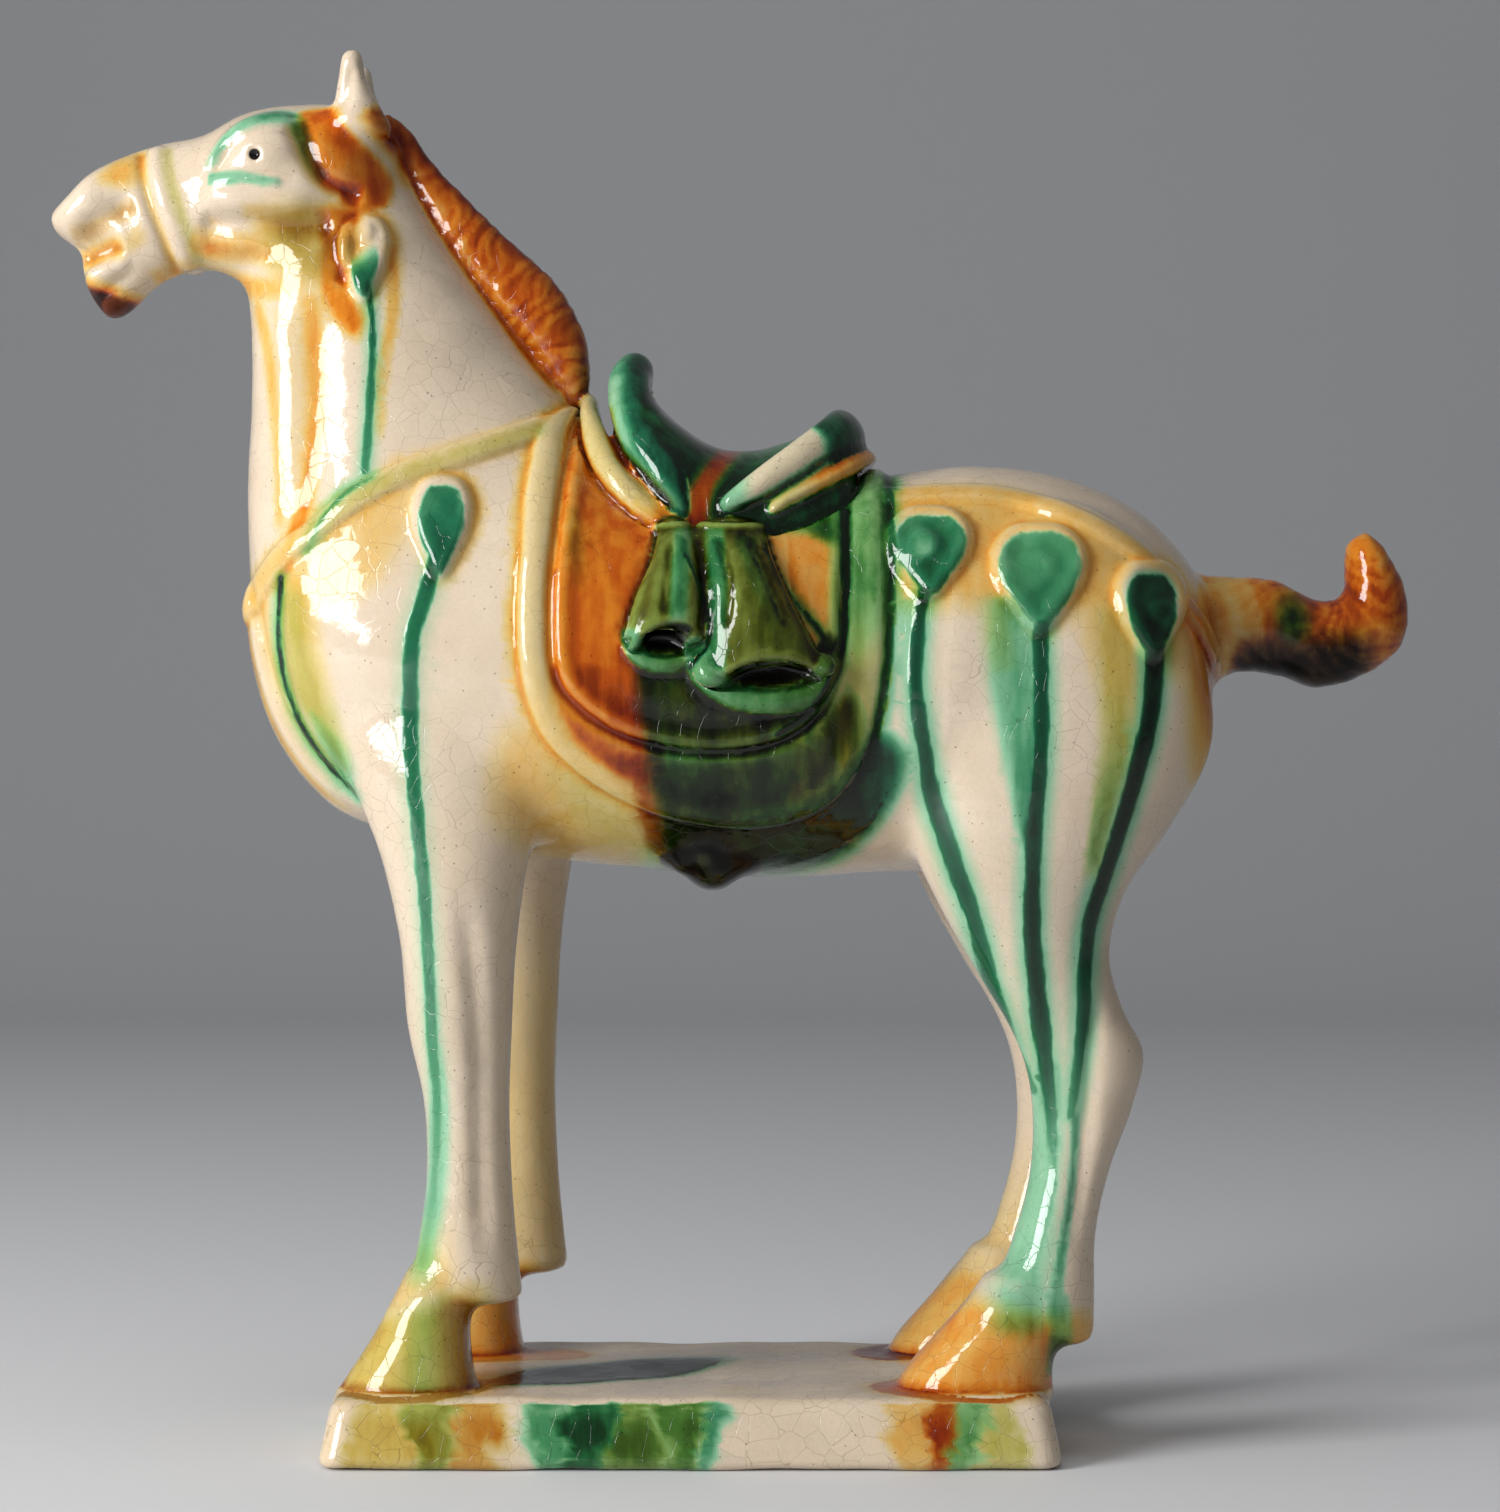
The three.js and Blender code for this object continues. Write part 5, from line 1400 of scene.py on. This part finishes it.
def paint(piece, parts, sizes, thicken=False):
    """Lays every glaze, either raising the skin by its thickness or storing the thickness on the mesh."""
    skin = Skin(piece)
    shares = {name: on_piece(piece, skin.points) for name, piece in parts.items()}
    glaze = Glaze(skin, sizes)
    glaze_plinth(glaze, skin)
    glaze_legs(glaze)
    glaze_neck(glaze)
    glaze_harness(glaze)
    glaze_pendants(glaze)
    glaze_head(glaze)
    glaze_blanket(glaze)
    covered = np.max([shares[name] for name in (*SADDLE_PARTS, "folds")], axis=0)
    glaze.wash *= (1 - covered)[:, None]
    glaze.edge -= (REACH * covered)[:, None]
    glaze_saddle(glaze, shares)
    glaze_folds(glaze, shares["folds"])
    glaze_hair(glaze, shares["mane"], shares["tail"])
    if thicken:
        normals = skin.normals()
        thick = np.max(glaze.depth * fade(glaze.edge, -0.4, 0.8), axis=1)
        skin.points += (GLAZE_THICKNESS * thick)[:, None] * normals
        pupil = np.hypot(skin.points[:, 0] - PUPIL[0], skin.points[:, 2] - PUPIL[1])
        skin.points -= (PUPIL_DEPTH * glaze.facing * fall(pupil, 0.3, 1.3))[:, None] * normals
        skin.points[:, 2] = np.maximum(skin.points[:, 2], 0)
        skin.write()
        return
    hollow = skin.hollowness(3)
    store(piece.data, "glaze_edge", glaze.edge)
    store(piece.data, "glaze_depth", glaze.depth)
    store(piece.data, "glaze_wash", glaze.wash)
    store(piece.data, "hollow", np.clip(hollow, -1, 1))


# Material

def add(tree, kind, inputs=None, **settings):
    """Adds a node. An input is given as a value or as the socket that feeds it."""
    node = tree.nodes.new(kind)
    for name, value in settings.items():
        setattr(node, name, value)
    for name, value in (inputs or {}).items():
        if isinstance(value, bpy.types.NodeSocket):
            tree.links.new(value, node.inputs[name])
        else:
            node.inputs[name].default_value = value
    return node


def calculate(tree, operation, first, second=0.0, third=0.0):
    """One arithmetic step."""
    return add(tree, "ShaderNodeMath", {0: first, 1: second, 2: third}, operation=operation).outputs[0]


def ease(tree, value, low, high, start=0.0, end=1.0):
    """A smooth step of a value from low to high."""
    inputs = {"Value": value, "From Min": low, "From Max": high, "To Min": start, "To Max": end}
    return add(tree, "ShaderNodeMapRange", inputs, interpolation_type="SMOOTHSTEP").outputs["Result"]


def noise(tree, place, size, detail=2.0, stretch=None):
    """Noise with features of a real size in metres."""
    if stretch:
        place = add(tree, "ShaderNodeMapping", {"Vector": place, "Scale": stretch}).outputs["Vector"]
    inputs = {"Vector": place, "Scale": 1 / size, "Detail": detail}
    return add(tree, "ShaderNodeTexNoise", inputs).outputs["Fac"]


def ramp(tree, value, stops):
    """A colour ramp through stops of share and colour."""
    node = add(tree, "ShaderNodeValToRGB", {"Fac": value})
    elements = node.color_ramp.elements
    elements[0].position, elements[0].color = stops[0][0], (*stops[0][1], 1)
    elements[1].position, elements[1].color = stops[-1][0], (*stops[-1][1], 1)
    for share, colour in stops[1:-1]:
        elements.new(share).color = (*colour, 1)
    return node.outputs["Color"]


def mix(tree, share, first, second, blend="MIX"):
    """Blends two colours."""
    node = add(tree, "ShaderNodeMix", {"Factor": share}, data_type="RGBA", blend_type=blend)
    for index, value in ((6, first), (7, second)):
        if isinstance(value, bpy.types.NodeSocket):
            tree.links.new(value, node.inputs[index])
        else:
            node.inputs[index].default_value = value
    return node.outputs[2]


# Shades and stains of the clay, and the pupil
DARK_CLAY = (0.56, 0.445, 0.32, 1)
SANDY_CLAY = (0.42, 0.35, 0.27, 1)
HONEY_STAIN = (0.55, 0.36, 0.13, 1)
CRACK_STAIN = (0.3, 0.2, 0.12, 1)
PUPIL_BLACK = (0.006, 0.005, 0.005, 1)

# How the glass bends light, how far apart the specks lie, and how the lines of the crackle wander
LEAD_GLASS_IOR = 1.47
SPECK_SPACING = 1.6 * MM
CRACKLE_BEND_SIZE = 6 * MM
CRACKLE_BEND = 2.2 * MM

# The colour that each glass lets through, by its thickness from 0 to 1
GREEN_GLASS = [
    (0, (1, 1, 1)), (0.2, (0.38, 0.92, 0.76)), (0.42, (0.09, 0.47, 0.3)), (0.62, (0.02, 0.24, 0.145)),
    (0.82, (0.008, 0.1, 0.06)), (1, (0.004, 0.03, 0.018)),
]
AMBER_GLASS = [
    (0, (1, 1, 1)), (0.15, (1, 0.92, 0.6)), (0.35, (1, 0.73, 0.24)), (0.6, (0.98, 0.39, 0.035)),
    (0.8, (0.74, 0.17, 0.01)), (1, (0.4, 0.07, 0.006)),
]
BROWN_GLASS = [
    (0, (1, 1, 1)), (0.3, (0.5, 0.27, 0.14)), (0.6, (0.16, 0.06, 0.03)), (1, (0.025, 0.012, 0.009)),
]


def glaze_thickness(tree, place):
    """The green, amber and brown thickness at a point, as three sockets."""
    fields = [add(tree, "ShaderNodeAttribute", attribute_name=name).outputs["Vector"]
              for name in ("glaze_edge", "glaze_depth", "glaze_wash")]
    edges, depths, washes = (add(tree, "ShaderNodeSeparateXYZ", {0: field}).outputs for field in fields)
    wander = noise(tree, place, 3.5 * MM, 2.0, (1, 1, 0.45))
    feather = noise(tree, place, 1.1 * MM, 2.0, (1, 1, 0.3))
    streaks = noise(tree, place, 2.2 * MM, 3.0, (1, 1, 0.16))
    hollow = add(tree, "ShaderNodeAttribute", attribute_name="hollow").outputs["Fac"]
    pooled = calculate(tree, "MULTIPLY_ADD", calculate(tree, "MAXIMUM", hollow, 0.0), 1.3, 1.0)
    pooling = calculate(tree, "MULTIPLY_ADD", calculate(tree, "MINIMUM", hollow, 0.0), 1.8, pooled)
    pooling = add(tree, "ShaderNodeClamp", {"Value": pooling, "Min": 0.66, "Max": 1.22}).outputs[0]
    slight = calculate(tree, "MULTIPLY_ADD", pooling, 0.3, 0.7)
    sockets = []
    for index in range(3):
        shift = calculate(tree, "MULTIPLY_ADD", wander, 1.1, -0.55)
        shift = calculate(tree, "ADD", shift, calculate(tree, "MULTIPLY_ADD", feather, 0.7, -0.35))
        inside = ease(tree, calculate(tree, "ADD", edges[index], shift), -0.4, 0.5)
        core = calculate(tree, "MULTIPLY", calculate(tree, "MULTIPLY", inside, depths[index]), slight)
        wash = calculate(tree, "MULTIPLY", washes[index], ease(tree, streaks, 0.25, 0.75, 0.87, 1.12))
        wash = calculate(tree, "MULTIPLY", wash, pooling)
        most = calculate(tree, "MAXIMUM", core, wash)
        sockets.append(calculate(tree, "MULTIPLY_ADD", calculate(tree, "MINIMUM", core, wash), 0.25, most))
    return sockets, hollow


def clay_colour(tree, place, hollow, colours):
    """The pale clay: blotched and grainy, honey-coloured in the hollows, with a few dark specks."""
    blotch = noise(tree, place, 14 * MM, 2.0)
    grain = noise(tree, place, 0.55 * MM, 2.0)
    clay = mix(tree, ease(tree, blotch, 0.35, 0.7, 0, 0.6), tuple(colours.clay), DARK_CLAY)
    clay = mix(tree, ease(tree, grain, 0.3, 0.75, 0, 0.22), clay, SANDY_CLAY)
    honey = ease(tree, hollow, 0.06, 0.5, 0, 0.75)
    clay = mix(tree, honey, clay, HONEY_STAIN)
    spots = {"Vector": place, "Scale": 1 / SPECK_SPACING}
    speck_gap = add(tree, "ShaderNodeTexVoronoi", spots).outputs["Distance"]
    few = noise(tree, place, 3 * MM, 1.0)
    speck = calculate(tree, "MULTIPLY", ease(tree, speck_gap, 0.06, 0.15, 1, 0), ease(tree, few, 0.44, 0.6))
    return mix(tree, calculate(tree, "MULTIPLY", speck, 0.65), clay, tuple(colours.speck))


def crackle(tree, place, up, size):
    """How clearly a crack of the crazed glaze shows, most of all low down, and the lean of each cell."""
    bends = {"Vector": place, "Scale": 1 / CRACKLE_BEND_SIZE}
    bend = add(tree, "ShaderNodeTexNoise", bends).outputs["Color"]
    bend = add(tree, "ShaderNodeVectorMath", {0: bend, "Scale": CRACKLE_BEND}, operation="SCALE").outputs[0]
    bent_place = add(tree, "ShaderNodeVectorMath", {0: place, 1: bend}, operation="ADD").outputs[0]
    cells = {"Vector": bent_place, "Scale": 1 / size}
    crack_gap = add(tree, "ShaderNodeTexVoronoi", cells, feature="DISTANCE_TO_EDGE").outputs["Distance"]
    crack = ease(tree, crack_gap, 0.0, 0.016, 1, 0)
    crazed = ease(tree, noise(tree, place, 30 * MM, 1.0), 0.36, 0.56)
    low_down = ease(tree, up, 30 * MM, 70 * MM, 1, 0)
    crazed = calculate(tree, "MAXIMUM", calculate(tree, "MULTIPLY", crazed, 0.75), low_down)
    cell = add(tree, "ShaderNodeTexVoronoi", cells).outputs["Color"]
    lean = add(tree, "ShaderNodeVectorMath", {0: cell, 1: (0.5, 0.5, 0.5)}, operation="SUBTRACT").outputs[0]
    lean = add(tree, "ShaderNodeVectorMath", {0: lean, "Scale": 0.05}, operation="SCALE").outputs[0]
    return calculate(tree, "MULTIPLY", crack, crazed), lean


def pupil_mark(tree, along, up):
    """1 inside the pupil and 0 around it."""
    across = calculate(tree, "ADD", along, -PUPIL[0] * MM)
    upward = calculate(tree, "ADD", up, -PUPIL[1] * MM)
    pupil_gap = calculate(tree, "SQRT", calculate(tree, "ADD", calculate(tree, "MULTIPLY", across, across),
                                                  calculate(tree, "MULTIPLY", upward, upward)))
    return ease(tree, pupil_gap, 0.85 * MM, 1.15 * MM, 1, 0)


def glass_normal(tree, place, crack, lean, glassy):
    """The slightly wavy surface of the glaze, sunk at the cracks and leaning from cell to cell."""
    waves = calculate(tree, "MULTIPLY", noise(tree, place, 6.2 * MM, 2.0), 0.11)
    ripples = calculate(tree, "MULTIPLY", noise(tree, place, 1.8 * MM, 3.0), 0.034)
    height = calculate(tree, "ADD", waves, ripples)
    height = calculate(tree, "ADD", height, calculate(tree, "MULTIPLY", crack, -0.03))
    height = calculate(tree, "ADD", height, calculate(tree, "MULTIPLY", glassy, 0.02))
    bump = add(tree, "ShaderNodeBump", {"Strength": 1.0, "Distance": MM, "Height": height}).outputs["Normal"]
    bump = add(tree, "ShaderNodeVectorMath", {0: bump, 1: lean}, operation="ADD").outputs[0]
    return add(tree, "ShaderNodeVectorMath", {0: bump}, operation="NORMALIZE").outputs[0]


def glaze_material(sizes, colours):
    """Lead glaze over pale clay: coloured glass by thickness, specks, crackle and a wet shine."""
    material = bpy.data.materials.new(SLOT)
    material.use_nodes = True
    tree = material.node_tree
    tree.nodes.clear()
    place = add(tree, "ShaderNodeTexCoord").outputs["Object"]
    along, across, up = add(tree, "ShaderNodeSeparateXYZ", {0: place}).outputs
    (green, amber, brown), hollow = glaze_thickness(tree, place)
    clay = clay_colour(tree, place, hollow, colours)
    crack, lean = crackle(tree, place, up, sizes.crackle_size)

    colour = mix(tree, 1.0, clay, ramp(tree, green, GREEN_GLASS), "MULTIPLY")
    colour = mix(tree, 1.0, colour, ramp(tree, amber, AMBER_GLASS), "MULTIPLY")
    colour = mix(tree, 1.0, colour, ramp(tree, brown, BROWN_GLASS), "MULTIPLY")
    colour = mix(tree, calculate(tree, "MULTIPLY", crack, 0.4), colour, CRACK_STAIN, "MULTIPLY")
    colour = mix(tree, pupil_mark(tree, along, up), colour, PUPIL_BLACK)

    glassy = ease(tree, calculate(tree, "ADD", green, amber), 0.0, 0.5)
    dull = ease(tree, brown, 0.2, 0.8)
    shader = add(tree, "ShaderNodeBsdfPrincipled", {
        "Base Color": colour, "IOR": LEAD_GLASS_IOR,
        "Normal": glass_normal(tree, place, crack, lean, glassy),
        "Roughness": calculate(tree, "MULTIPLY_ADD", dull, 0.14, 0.08),
        "Specular IOR Level": calculate(tree, "MULTIPLY_ADD", dull, -0.28, 0.5)})
    add(tree, "ShaderNodeOutputMaterial", {"Surface": shader.outputs[0]})
    return material


# The pieces of clay

def build_body(sizes):
    """Trunk, legs, hooves, head, ears and the hanging drip, joined and evened like modelled clay."""
    spread = sizes.hoof_spread / MM
    pieces = [form("Trunk", TRUNK, 90, 72, (0.02, 0.02))]
    for side in SIDES:
        fore = (sizes.foreleg_set_back / MM if side > 0 else 0, side * spread, 0)
        hind = (0, side * spread, 0)
        pieces.append(form("Foreleg", FORELEG, 60, 40, (0.03, 0.03), place=fore))
        pieces.append(form("Fore Hoof", FORE_HOOF, 24, 48, (0.06, 0.02), place=fore))
        pieces.append(form("Hind Leg", HIND_LEG, 70, 40, (0.03, 0.03), place=hind))
        pieces.append(form("Hind Hoof", HIND_HOOF, 24, 48, (0.06, 0.02), place=hind))
        ear = (0, side * sizes.ear_spread / MM, 0)
        pieces.append(form("Ear", EAR, 20, 28, (0.1, 0.12), place=ear))
        eye = (EYE[0] + 0.4, side * sizes.eye_spread / MM, EYE[1] + 0.2)
        pieces.append(ball("Eye", eye, (8, 6, 6.4), 8))
    pieces.append(form("Head", HEAD, 70, 60, (0.03, 0.03)))
    pieces.append(form("Jaw", JAW, 20, 40, (0.1, 0.16)))
    for drop in (*DRIPS, SMALL_DRIP):
        pieces.append(ball("Drip", drop["place"], drop["radii"]))
    body = weld("Body", pieces, 0.9 * MM)
    skin = Skin(body)
    x, y, z = skin.points.T
    big = fade(z, 60, 100) * (1 - fade(-x, 54, 66) * fade(z, 205, 212))
    skin.fill_creases(34, 0.4 + 0.6 * big)
    skin.smooth(6, 0.5)
    skin.write()
    return body


def build_saddlery():
    """Saddle, its two arches and rolls, and the knotted cloth on each side."""
    seat = form("Seat", SEAT, 50, 60, (0.06, 0.06))
    pommel = form("Pommel", arched(POMMEL), 110, 36, (0.03, 0.03))
    cantle = form("Cantle", arched(CANTLE), 110, 36, (0.03, 0.03))
    rolls = form("Rolls", arched(FRONT_ROLL), 110, 28, (0.03, 0.03))
    rear_roll = form("Rear Roll", arched(REAR_ROLL), 110, 28, (0.03, 0.03))
    select_only(rolls, rear_roll)
    bpy.ops.object.join()
    folds = []
    for side in SIDES:
        folds.append(form("Folds", on_side(FRONT_FOLD, side), 40, 40, (0.08, 0.05)))
        folds.append(form("Rear Fold", on_side(REAR_FOLD, side), 40, 40, (0.08, 0.05)))
    select_only(*folds)
    bpy.ops.object.join()
    return {"seat": seat, "pommel": pommel, "cantle": cantle, "rolls": rolls, "folds": folds[0]}


def build_hair():
    """Mane and tail as plain forms: their locks are worked in later."""
    return {
        "mane": form("Mane", MANE, 90, 40, (0.05, 0.05)),
        "tail": form("Tail", TAIL, 110, 44, (0.03, 0.08)),
    }


def build_plinth():
    """A slab with sloping sides and soft edges."""
    bpy.ops.mesh.primitive_cube_add(size=1, location=(0, 0, PLINTH_HEIGHT / 2 * MM))
    plinth = bpy.context.active_object
    plinth.name = "Plinth"
    plinth.scale = (PLINTH_LENGTH * MM, PLINTH_WIDTH * MM, PLINTH_HEIGHT * MM)
    bpy.ops.object.transform_apply(location=True, rotation=False, scale=True)
    for vertex in plinth.data.vertices:
        if vertex.co.z > 0:
            vertex.co.x *= 1 - PLINTH_TAPER / (PLINTH_LENGTH / 2)
            vertex.co.y *= 1 - PLINTH_TAPER / (PLINTH_WIDTH / 2)
    bpy.ops.object.mode_set(mode="EDIT")
    bpy.ops.mesh.select_mode(type="EDGE")
    bpy.ops.mesh.select_all(action="DESELECT")
    bpy.ops.object.mode_set(mode="OBJECT")
    for edge in plinth.data.edges:
        first, last = (plinth.data.vertices[end].co.z for end in edge.vertices)
        edge.select = abs(first - last) > PLINTH_ROUNDING * MM
    bpy.ops.object.mode_set(mode="EDIT")
    bpy.ops.mesh.bevel(offset=PLINTH_CORNER * MM, segments=8, profile=0.5, affect="EDGES")
    bpy.ops.object.mode_set(mode="OBJECT")
    apply_modifier(plinth, "BEVEL", width=PLINTH_ROUNDING * MM, segments=5, limit_method="ANGLE")
    return plinth


def join_clay(clay, grain):
    """Lays one skin over all the clay and softens the creases where its forms meet."""
    horse = weld(PIECE, copies_of(clay), grain)
    skin = Skin(horse)
    skin.fill_creases(4, fade(skin.points[:, 2], PLINTH_HEIGHT - 3, PLINTH_HEIGHT - 1))
    along, up = skin.points[:, 0], skin.points[:, 2]
    tail_root = fade(along, 86, 91) * fall(along, 98, 104)
    pommel_foot = fade(along, -12, -7) * fall(along, 0, 6) * fade(up, 163, 166) * fall(up, 184, 190)
    skin.fill_creases(60, np.maximum(0.5 * tail_root, pommel_foot))
    skin.smooth(3, 0.45)
    skin.write()
    return horse


def thin(horse, most_triangles):
    """Thins the skin to about this many triangles, kept even in size by the weights of its corners."""
    evenness = horse.vertex_groups.new(name="Evenness")
    evenness.add(range(len(horse.data.vertices)), 0.5, "REPLACE")
    underside = [vertex.index for vertex in horse.data.vertices if vertex.co.z < 0.1 * MM]
    evenness.add(underside, 1.0, "REPLACE")
    apply_modifier(horse, "DECIMATE", ratio=most_triangles / (2 * len(horse.data.polygons)),
                   use_collapse_triangulate=True, vertex_group="Evenness", vertex_group_factor=EVENNESS)
    horse.vertex_groups.clear()


def fire(sizes, colours):
    """Joins all the clay into one skin, works in the relief, thins the mesh, glazes and fires it."""
    parts = {name: bpy.data.objects[name.title()] for name in PARTS}
    clay = [bpy.data.objects["Body"], bpy.data.objects["Plinth"], *parts.values()]
    horse = join_clay(clay, sizes.clay_grain)
    arches = copies_of([parts[name] for name in SADDLE_PARTS])
    select_only(*arches)
    bpy.ops.object.join()
    saddle = bpy.context.active_object
    raise_relief(horse, {**parts, "saddle": saddle}, sizes)
    remove(saddle)
    paint(horse, parts, sizes, thicken=True)
    fine, = copies_of([horse])
    fine.data.shade_smooth()
    thin(horse, sizes.most_triangles)
    paint(horse, parts, sizes)
    horse.data.shade_smooth()
    apply_modifier(horse, "DATA_TRANSFER", object=fine, use_loop_data=True,
                   data_types_loops={"CUSTOM_NORMAL"}, loop_mapping="POLYINTERP_NEAREST")
    for piece in (fine, *clay):
        remove(piece)
    horse.data.materials.clear()
    horse.data.materials.append(glaze_material(sizes, colours))
    select_only(horse)
    return horse


def copies_of(pieces):
    """A copy of each of these objects, with its own mesh."""
    copies = []
    for piece in pieces:
        copy = piece.copy()
        copy.data = piece.data.copy()
        bpy.context.collection.objects.link(copy)
        copies.append(copy)
    return copies


def remove(piece):
    """Deletes an object and its mesh."""
    mesh = piece.data
    bpy.data.objects.remove(piece)
    bpy.data.meshes.remove(mesh)


# Stage, in metres

HORSE_MIDDLE = (0, 0, 0.13)
FLOOR_HALF_WIDTH = 2.6
FLOOR_FRONT = -1.6
SWEEP_START = 1.1
SWEEP_RADIUS = 0.9
SWEEP_STEPS = 24
BACKDROP_TOP = 3.0
SKY_COLOUR = (0.8, 0.83, 0.88, 1)
SKY_STRENGTH = 0.18

# Camera sensor in millimetres, and the longer side of the frame in pixels
SENSOR = 36
FRAME_HEIGHT = 1512

# Lights: name, direction from the horse, distance, width, height, power, and whether the glaze mirrors it
LIGHTS = [
    ("Window", (-0.8, -0.6, 0.26), 0.95, 0.44, 0.54, 12, True),
    ("Overhead", (-0.1, -0.2, 1), 1.2, 0.9, 0.7, 4, False),
    ("Front Fill", (-0.1, -1, 0.3), 1.6, 0.8, 0.8, 1.5, False),
]


def plain_material(name, colour, roughness):
    """A matt painted surface."""
    material = bpy.data.materials.new(name)
    material.use_nodes = True
    shader = material.node_tree.nodes["Principled BSDF"]
    shader.inputs["Base Color"].default_value = colour
    shader.inputs["Roughness"].default_value = roughness
    return material


def area_light(name, direction, distance, width, height, power, mirrored):
    """A soft light aimed at the middle of the horse. It is mirrored in the glaze or only lights it."""
    middle = Vector(HORSE_MIDDLE)
    place = middle + Vector(direction).normalized() * distance
    bpy.ops.object.light_add(type="AREA", location=place)
    light = bpy.context.active_object
    light.name = name
    light.rotation_euler = (middle - place).to_track_quat("-Z", "Y").to_euler()
    light.data.shape = "RECTANGLE"
    light.data.size = width
    light.data.size_y = height
    light.data.energy = power
    light.visible_glossy = mirrored


def build_floor(colour):
    """A pale floor that sweeps up into a backdrop."""
    turns = np.linspace(0, math.pi / 2, SWEEP_STEPS)
    profile = [(FLOOR_FRONT, 0.0)]
    profile += [(SWEEP_START + SWEEP_RADIUS * math.sin(turn), SWEEP_RADIUS - SWEEP_RADIUS * math.cos(turn))
                for turn in turns]
    profile.append((SWEEP_START + SWEEP_RADIUS, BACKDROP_TOP))
    bpy.ops.mesh.primitive_grid_add(x_subdivisions=1, y_subdivisions=len(profile) - 1, size=2)
    floor = bpy.context.active_object
    floor.name = "Floor"
    rows = sorted({round(vertex.co.y, 5) for vertex in floor.data.vertices})
    for vertex in floor.data.vertices:
        depth, height = profile[rows.index(round(vertex.co.y, 5))]
        vertex.co = (vertex.co.x * FLOOR_HALF_WIDTH, depth, height)
    floor.data.shade_smooth()
    floor.data.materials.append(plain_material("floor_paint", colour, 0.7))


def set_sky():
    """A dim pale sky all round."""
    world = bpy.data.worlds.new("Studio")
    world.use_nodes = True
    sky = world.node_tree.nodes["Background"].inputs
    sky["Color"].default_value = SKY_COLOUR
    sky["Strength"].default_value = SKY_STRENGTH
    bpy.context.scene.world = world


def set_camera(settings):
    """A level camera on the horse's left side."""
    bpy.ops.object.camera_add(
        location=(settings.camera_along, -settings.camera_distance, settings.camera_height),
        rotation=(math.pi / 2, 0, 0))
    camera = bpy.context.active_object
    camera.data.sensor_width = SENSOR
    camera.data.lens = SENSOR * settings.camera_distance / (FRAME_HEIGHT * settings.pixel)
    bpy.context.scene.camera = camera
    bpy.context.scene.view_settings.view_transform = "Standard"


def build_stage(settings):
    """The floor, a window-like main light with two fills, the sky and the camera."""
    build_floor(settings.floor_colour)
    for light in LIGHTS:
        area_light(*light)
    set_sky()
    set_camera(settings)


# The add-on

class POTTERY_OT_body(bpy.types.Operator):
    """Model the trunk, neck, legs, hooves and head"""

    bl_idname = "pottery.body"
    bl_label = "Body"
    bl_options = {"REGISTER", "UNDO"}

    def execute(self, context):
        build_body(context.scene.horse_sizes)
        return {"FINISHED"}


class POTTERY_OT_saddlery(bpy.types.Operator):
    """Model the saddle, its arches and the knotted cloth"""

    bl_idname = "pottery.saddlery"
    bl_label = "Saddlery"
    bl_options = {"REGISTER", "UNDO"}

    def execute(self, context):
        build_saddlery()
        return {"FINISHED"}


class POTTERY_OT_hair(bpy.types.Operator):
    """Model the mane and the tail"""

    bl_idname = "pottery.hair"
    bl_label = "Mane and Tail"
    bl_options = {"REGISTER", "UNDO"}

    def execute(self, context):
        build_hair()
        return {"FINISHED"}


class POTTERY_OT_plinth(bpy.types.Operator):
    """Model the plinth"""

    bl_idname = "pottery.plinth"
    bl_label = "Plinth"
    bl_options = {"REGISTER", "UNDO"}

    def execute(self, context):
        build_plinth()
        return {"FINISHED"}


class POTTERY_OT_fire(bpy.types.Operator):
    """Join the clay into one skin, work in the relief and glaze it"""

    bl_idname = "pottery.fire"
    bl_label = "Join and Glaze"
    bl_options = {"REGISTER", "UNDO"}

    def execute(self, context):
        scene = context.scene
        horse = fire(scene.horse_sizes, scene.glaze_colours)
        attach(horse, "root")
        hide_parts(NODE)
        return {"FINISHED"}


class POTTERY_OT_stage(bpy.types.Operator):
    """Add the floor, the lights and the camera"""

    bl_idname = "pottery.stage"
    bl_label = "Stage"
    bl_options = {"REGISTER", "UNDO"}

    def execute(self, context):
        build_stage(context.scene.stage_settings)
        return {"FINISHED"}


STEPS = (
    POTTERY_OT_body,
    POTTERY_OT_saddlery,
    POTTERY_OT_hair,
    POTTERY_OT_plinth,
    POTTERY_OT_fire,
    POTTERY_OT_stage,
)


class POTTERY_PT_panel(bpy.types.Panel):
    """Lists the steps that build the horse"""

    bl_idname = "POTTERY_PT_panel"
    bl_label = "Pottery Horse"
    bl_space_type = "VIEW_3D"
    bl_region_type = "UI"
    bl_category = "Pottery Horse"

    def draw(self, context):
        for step in STEPS:
            self.layout.operator(step.bl_idname)


CLASSES = (HorseSizes, GlazeColours, StageSettings, *STEPS, POTTERY_PT_panel)


def register():
    for item in CLASSES:
        bpy.utils.register_class(item)
    bpy.types.Scene.horse_sizes = bpy.props.PointerProperty(type=HorseSizes)
    bpy.types.Scene.glaze_colours = bpy.props.PointerProperty(type=GlazeColours)
    bpy.types.Scene.stage_settings = bpy.props.PointerProperty(type=StageSettings)


def unregister():
    for name in ("horse_sizes", "glaze_colours", "stage_settings"):
        delattr(bpy.types.Scene, name)
    for item in reversed(CLASSES):
        bpy.utils.unregister_class(item)


def main():
    register()
    for step in STEPS:
        group, name = step.bl_idname.split(".")
        getattr(getattr(bpy.ops, group), name)()


if __name__ == "__main__":
    main()
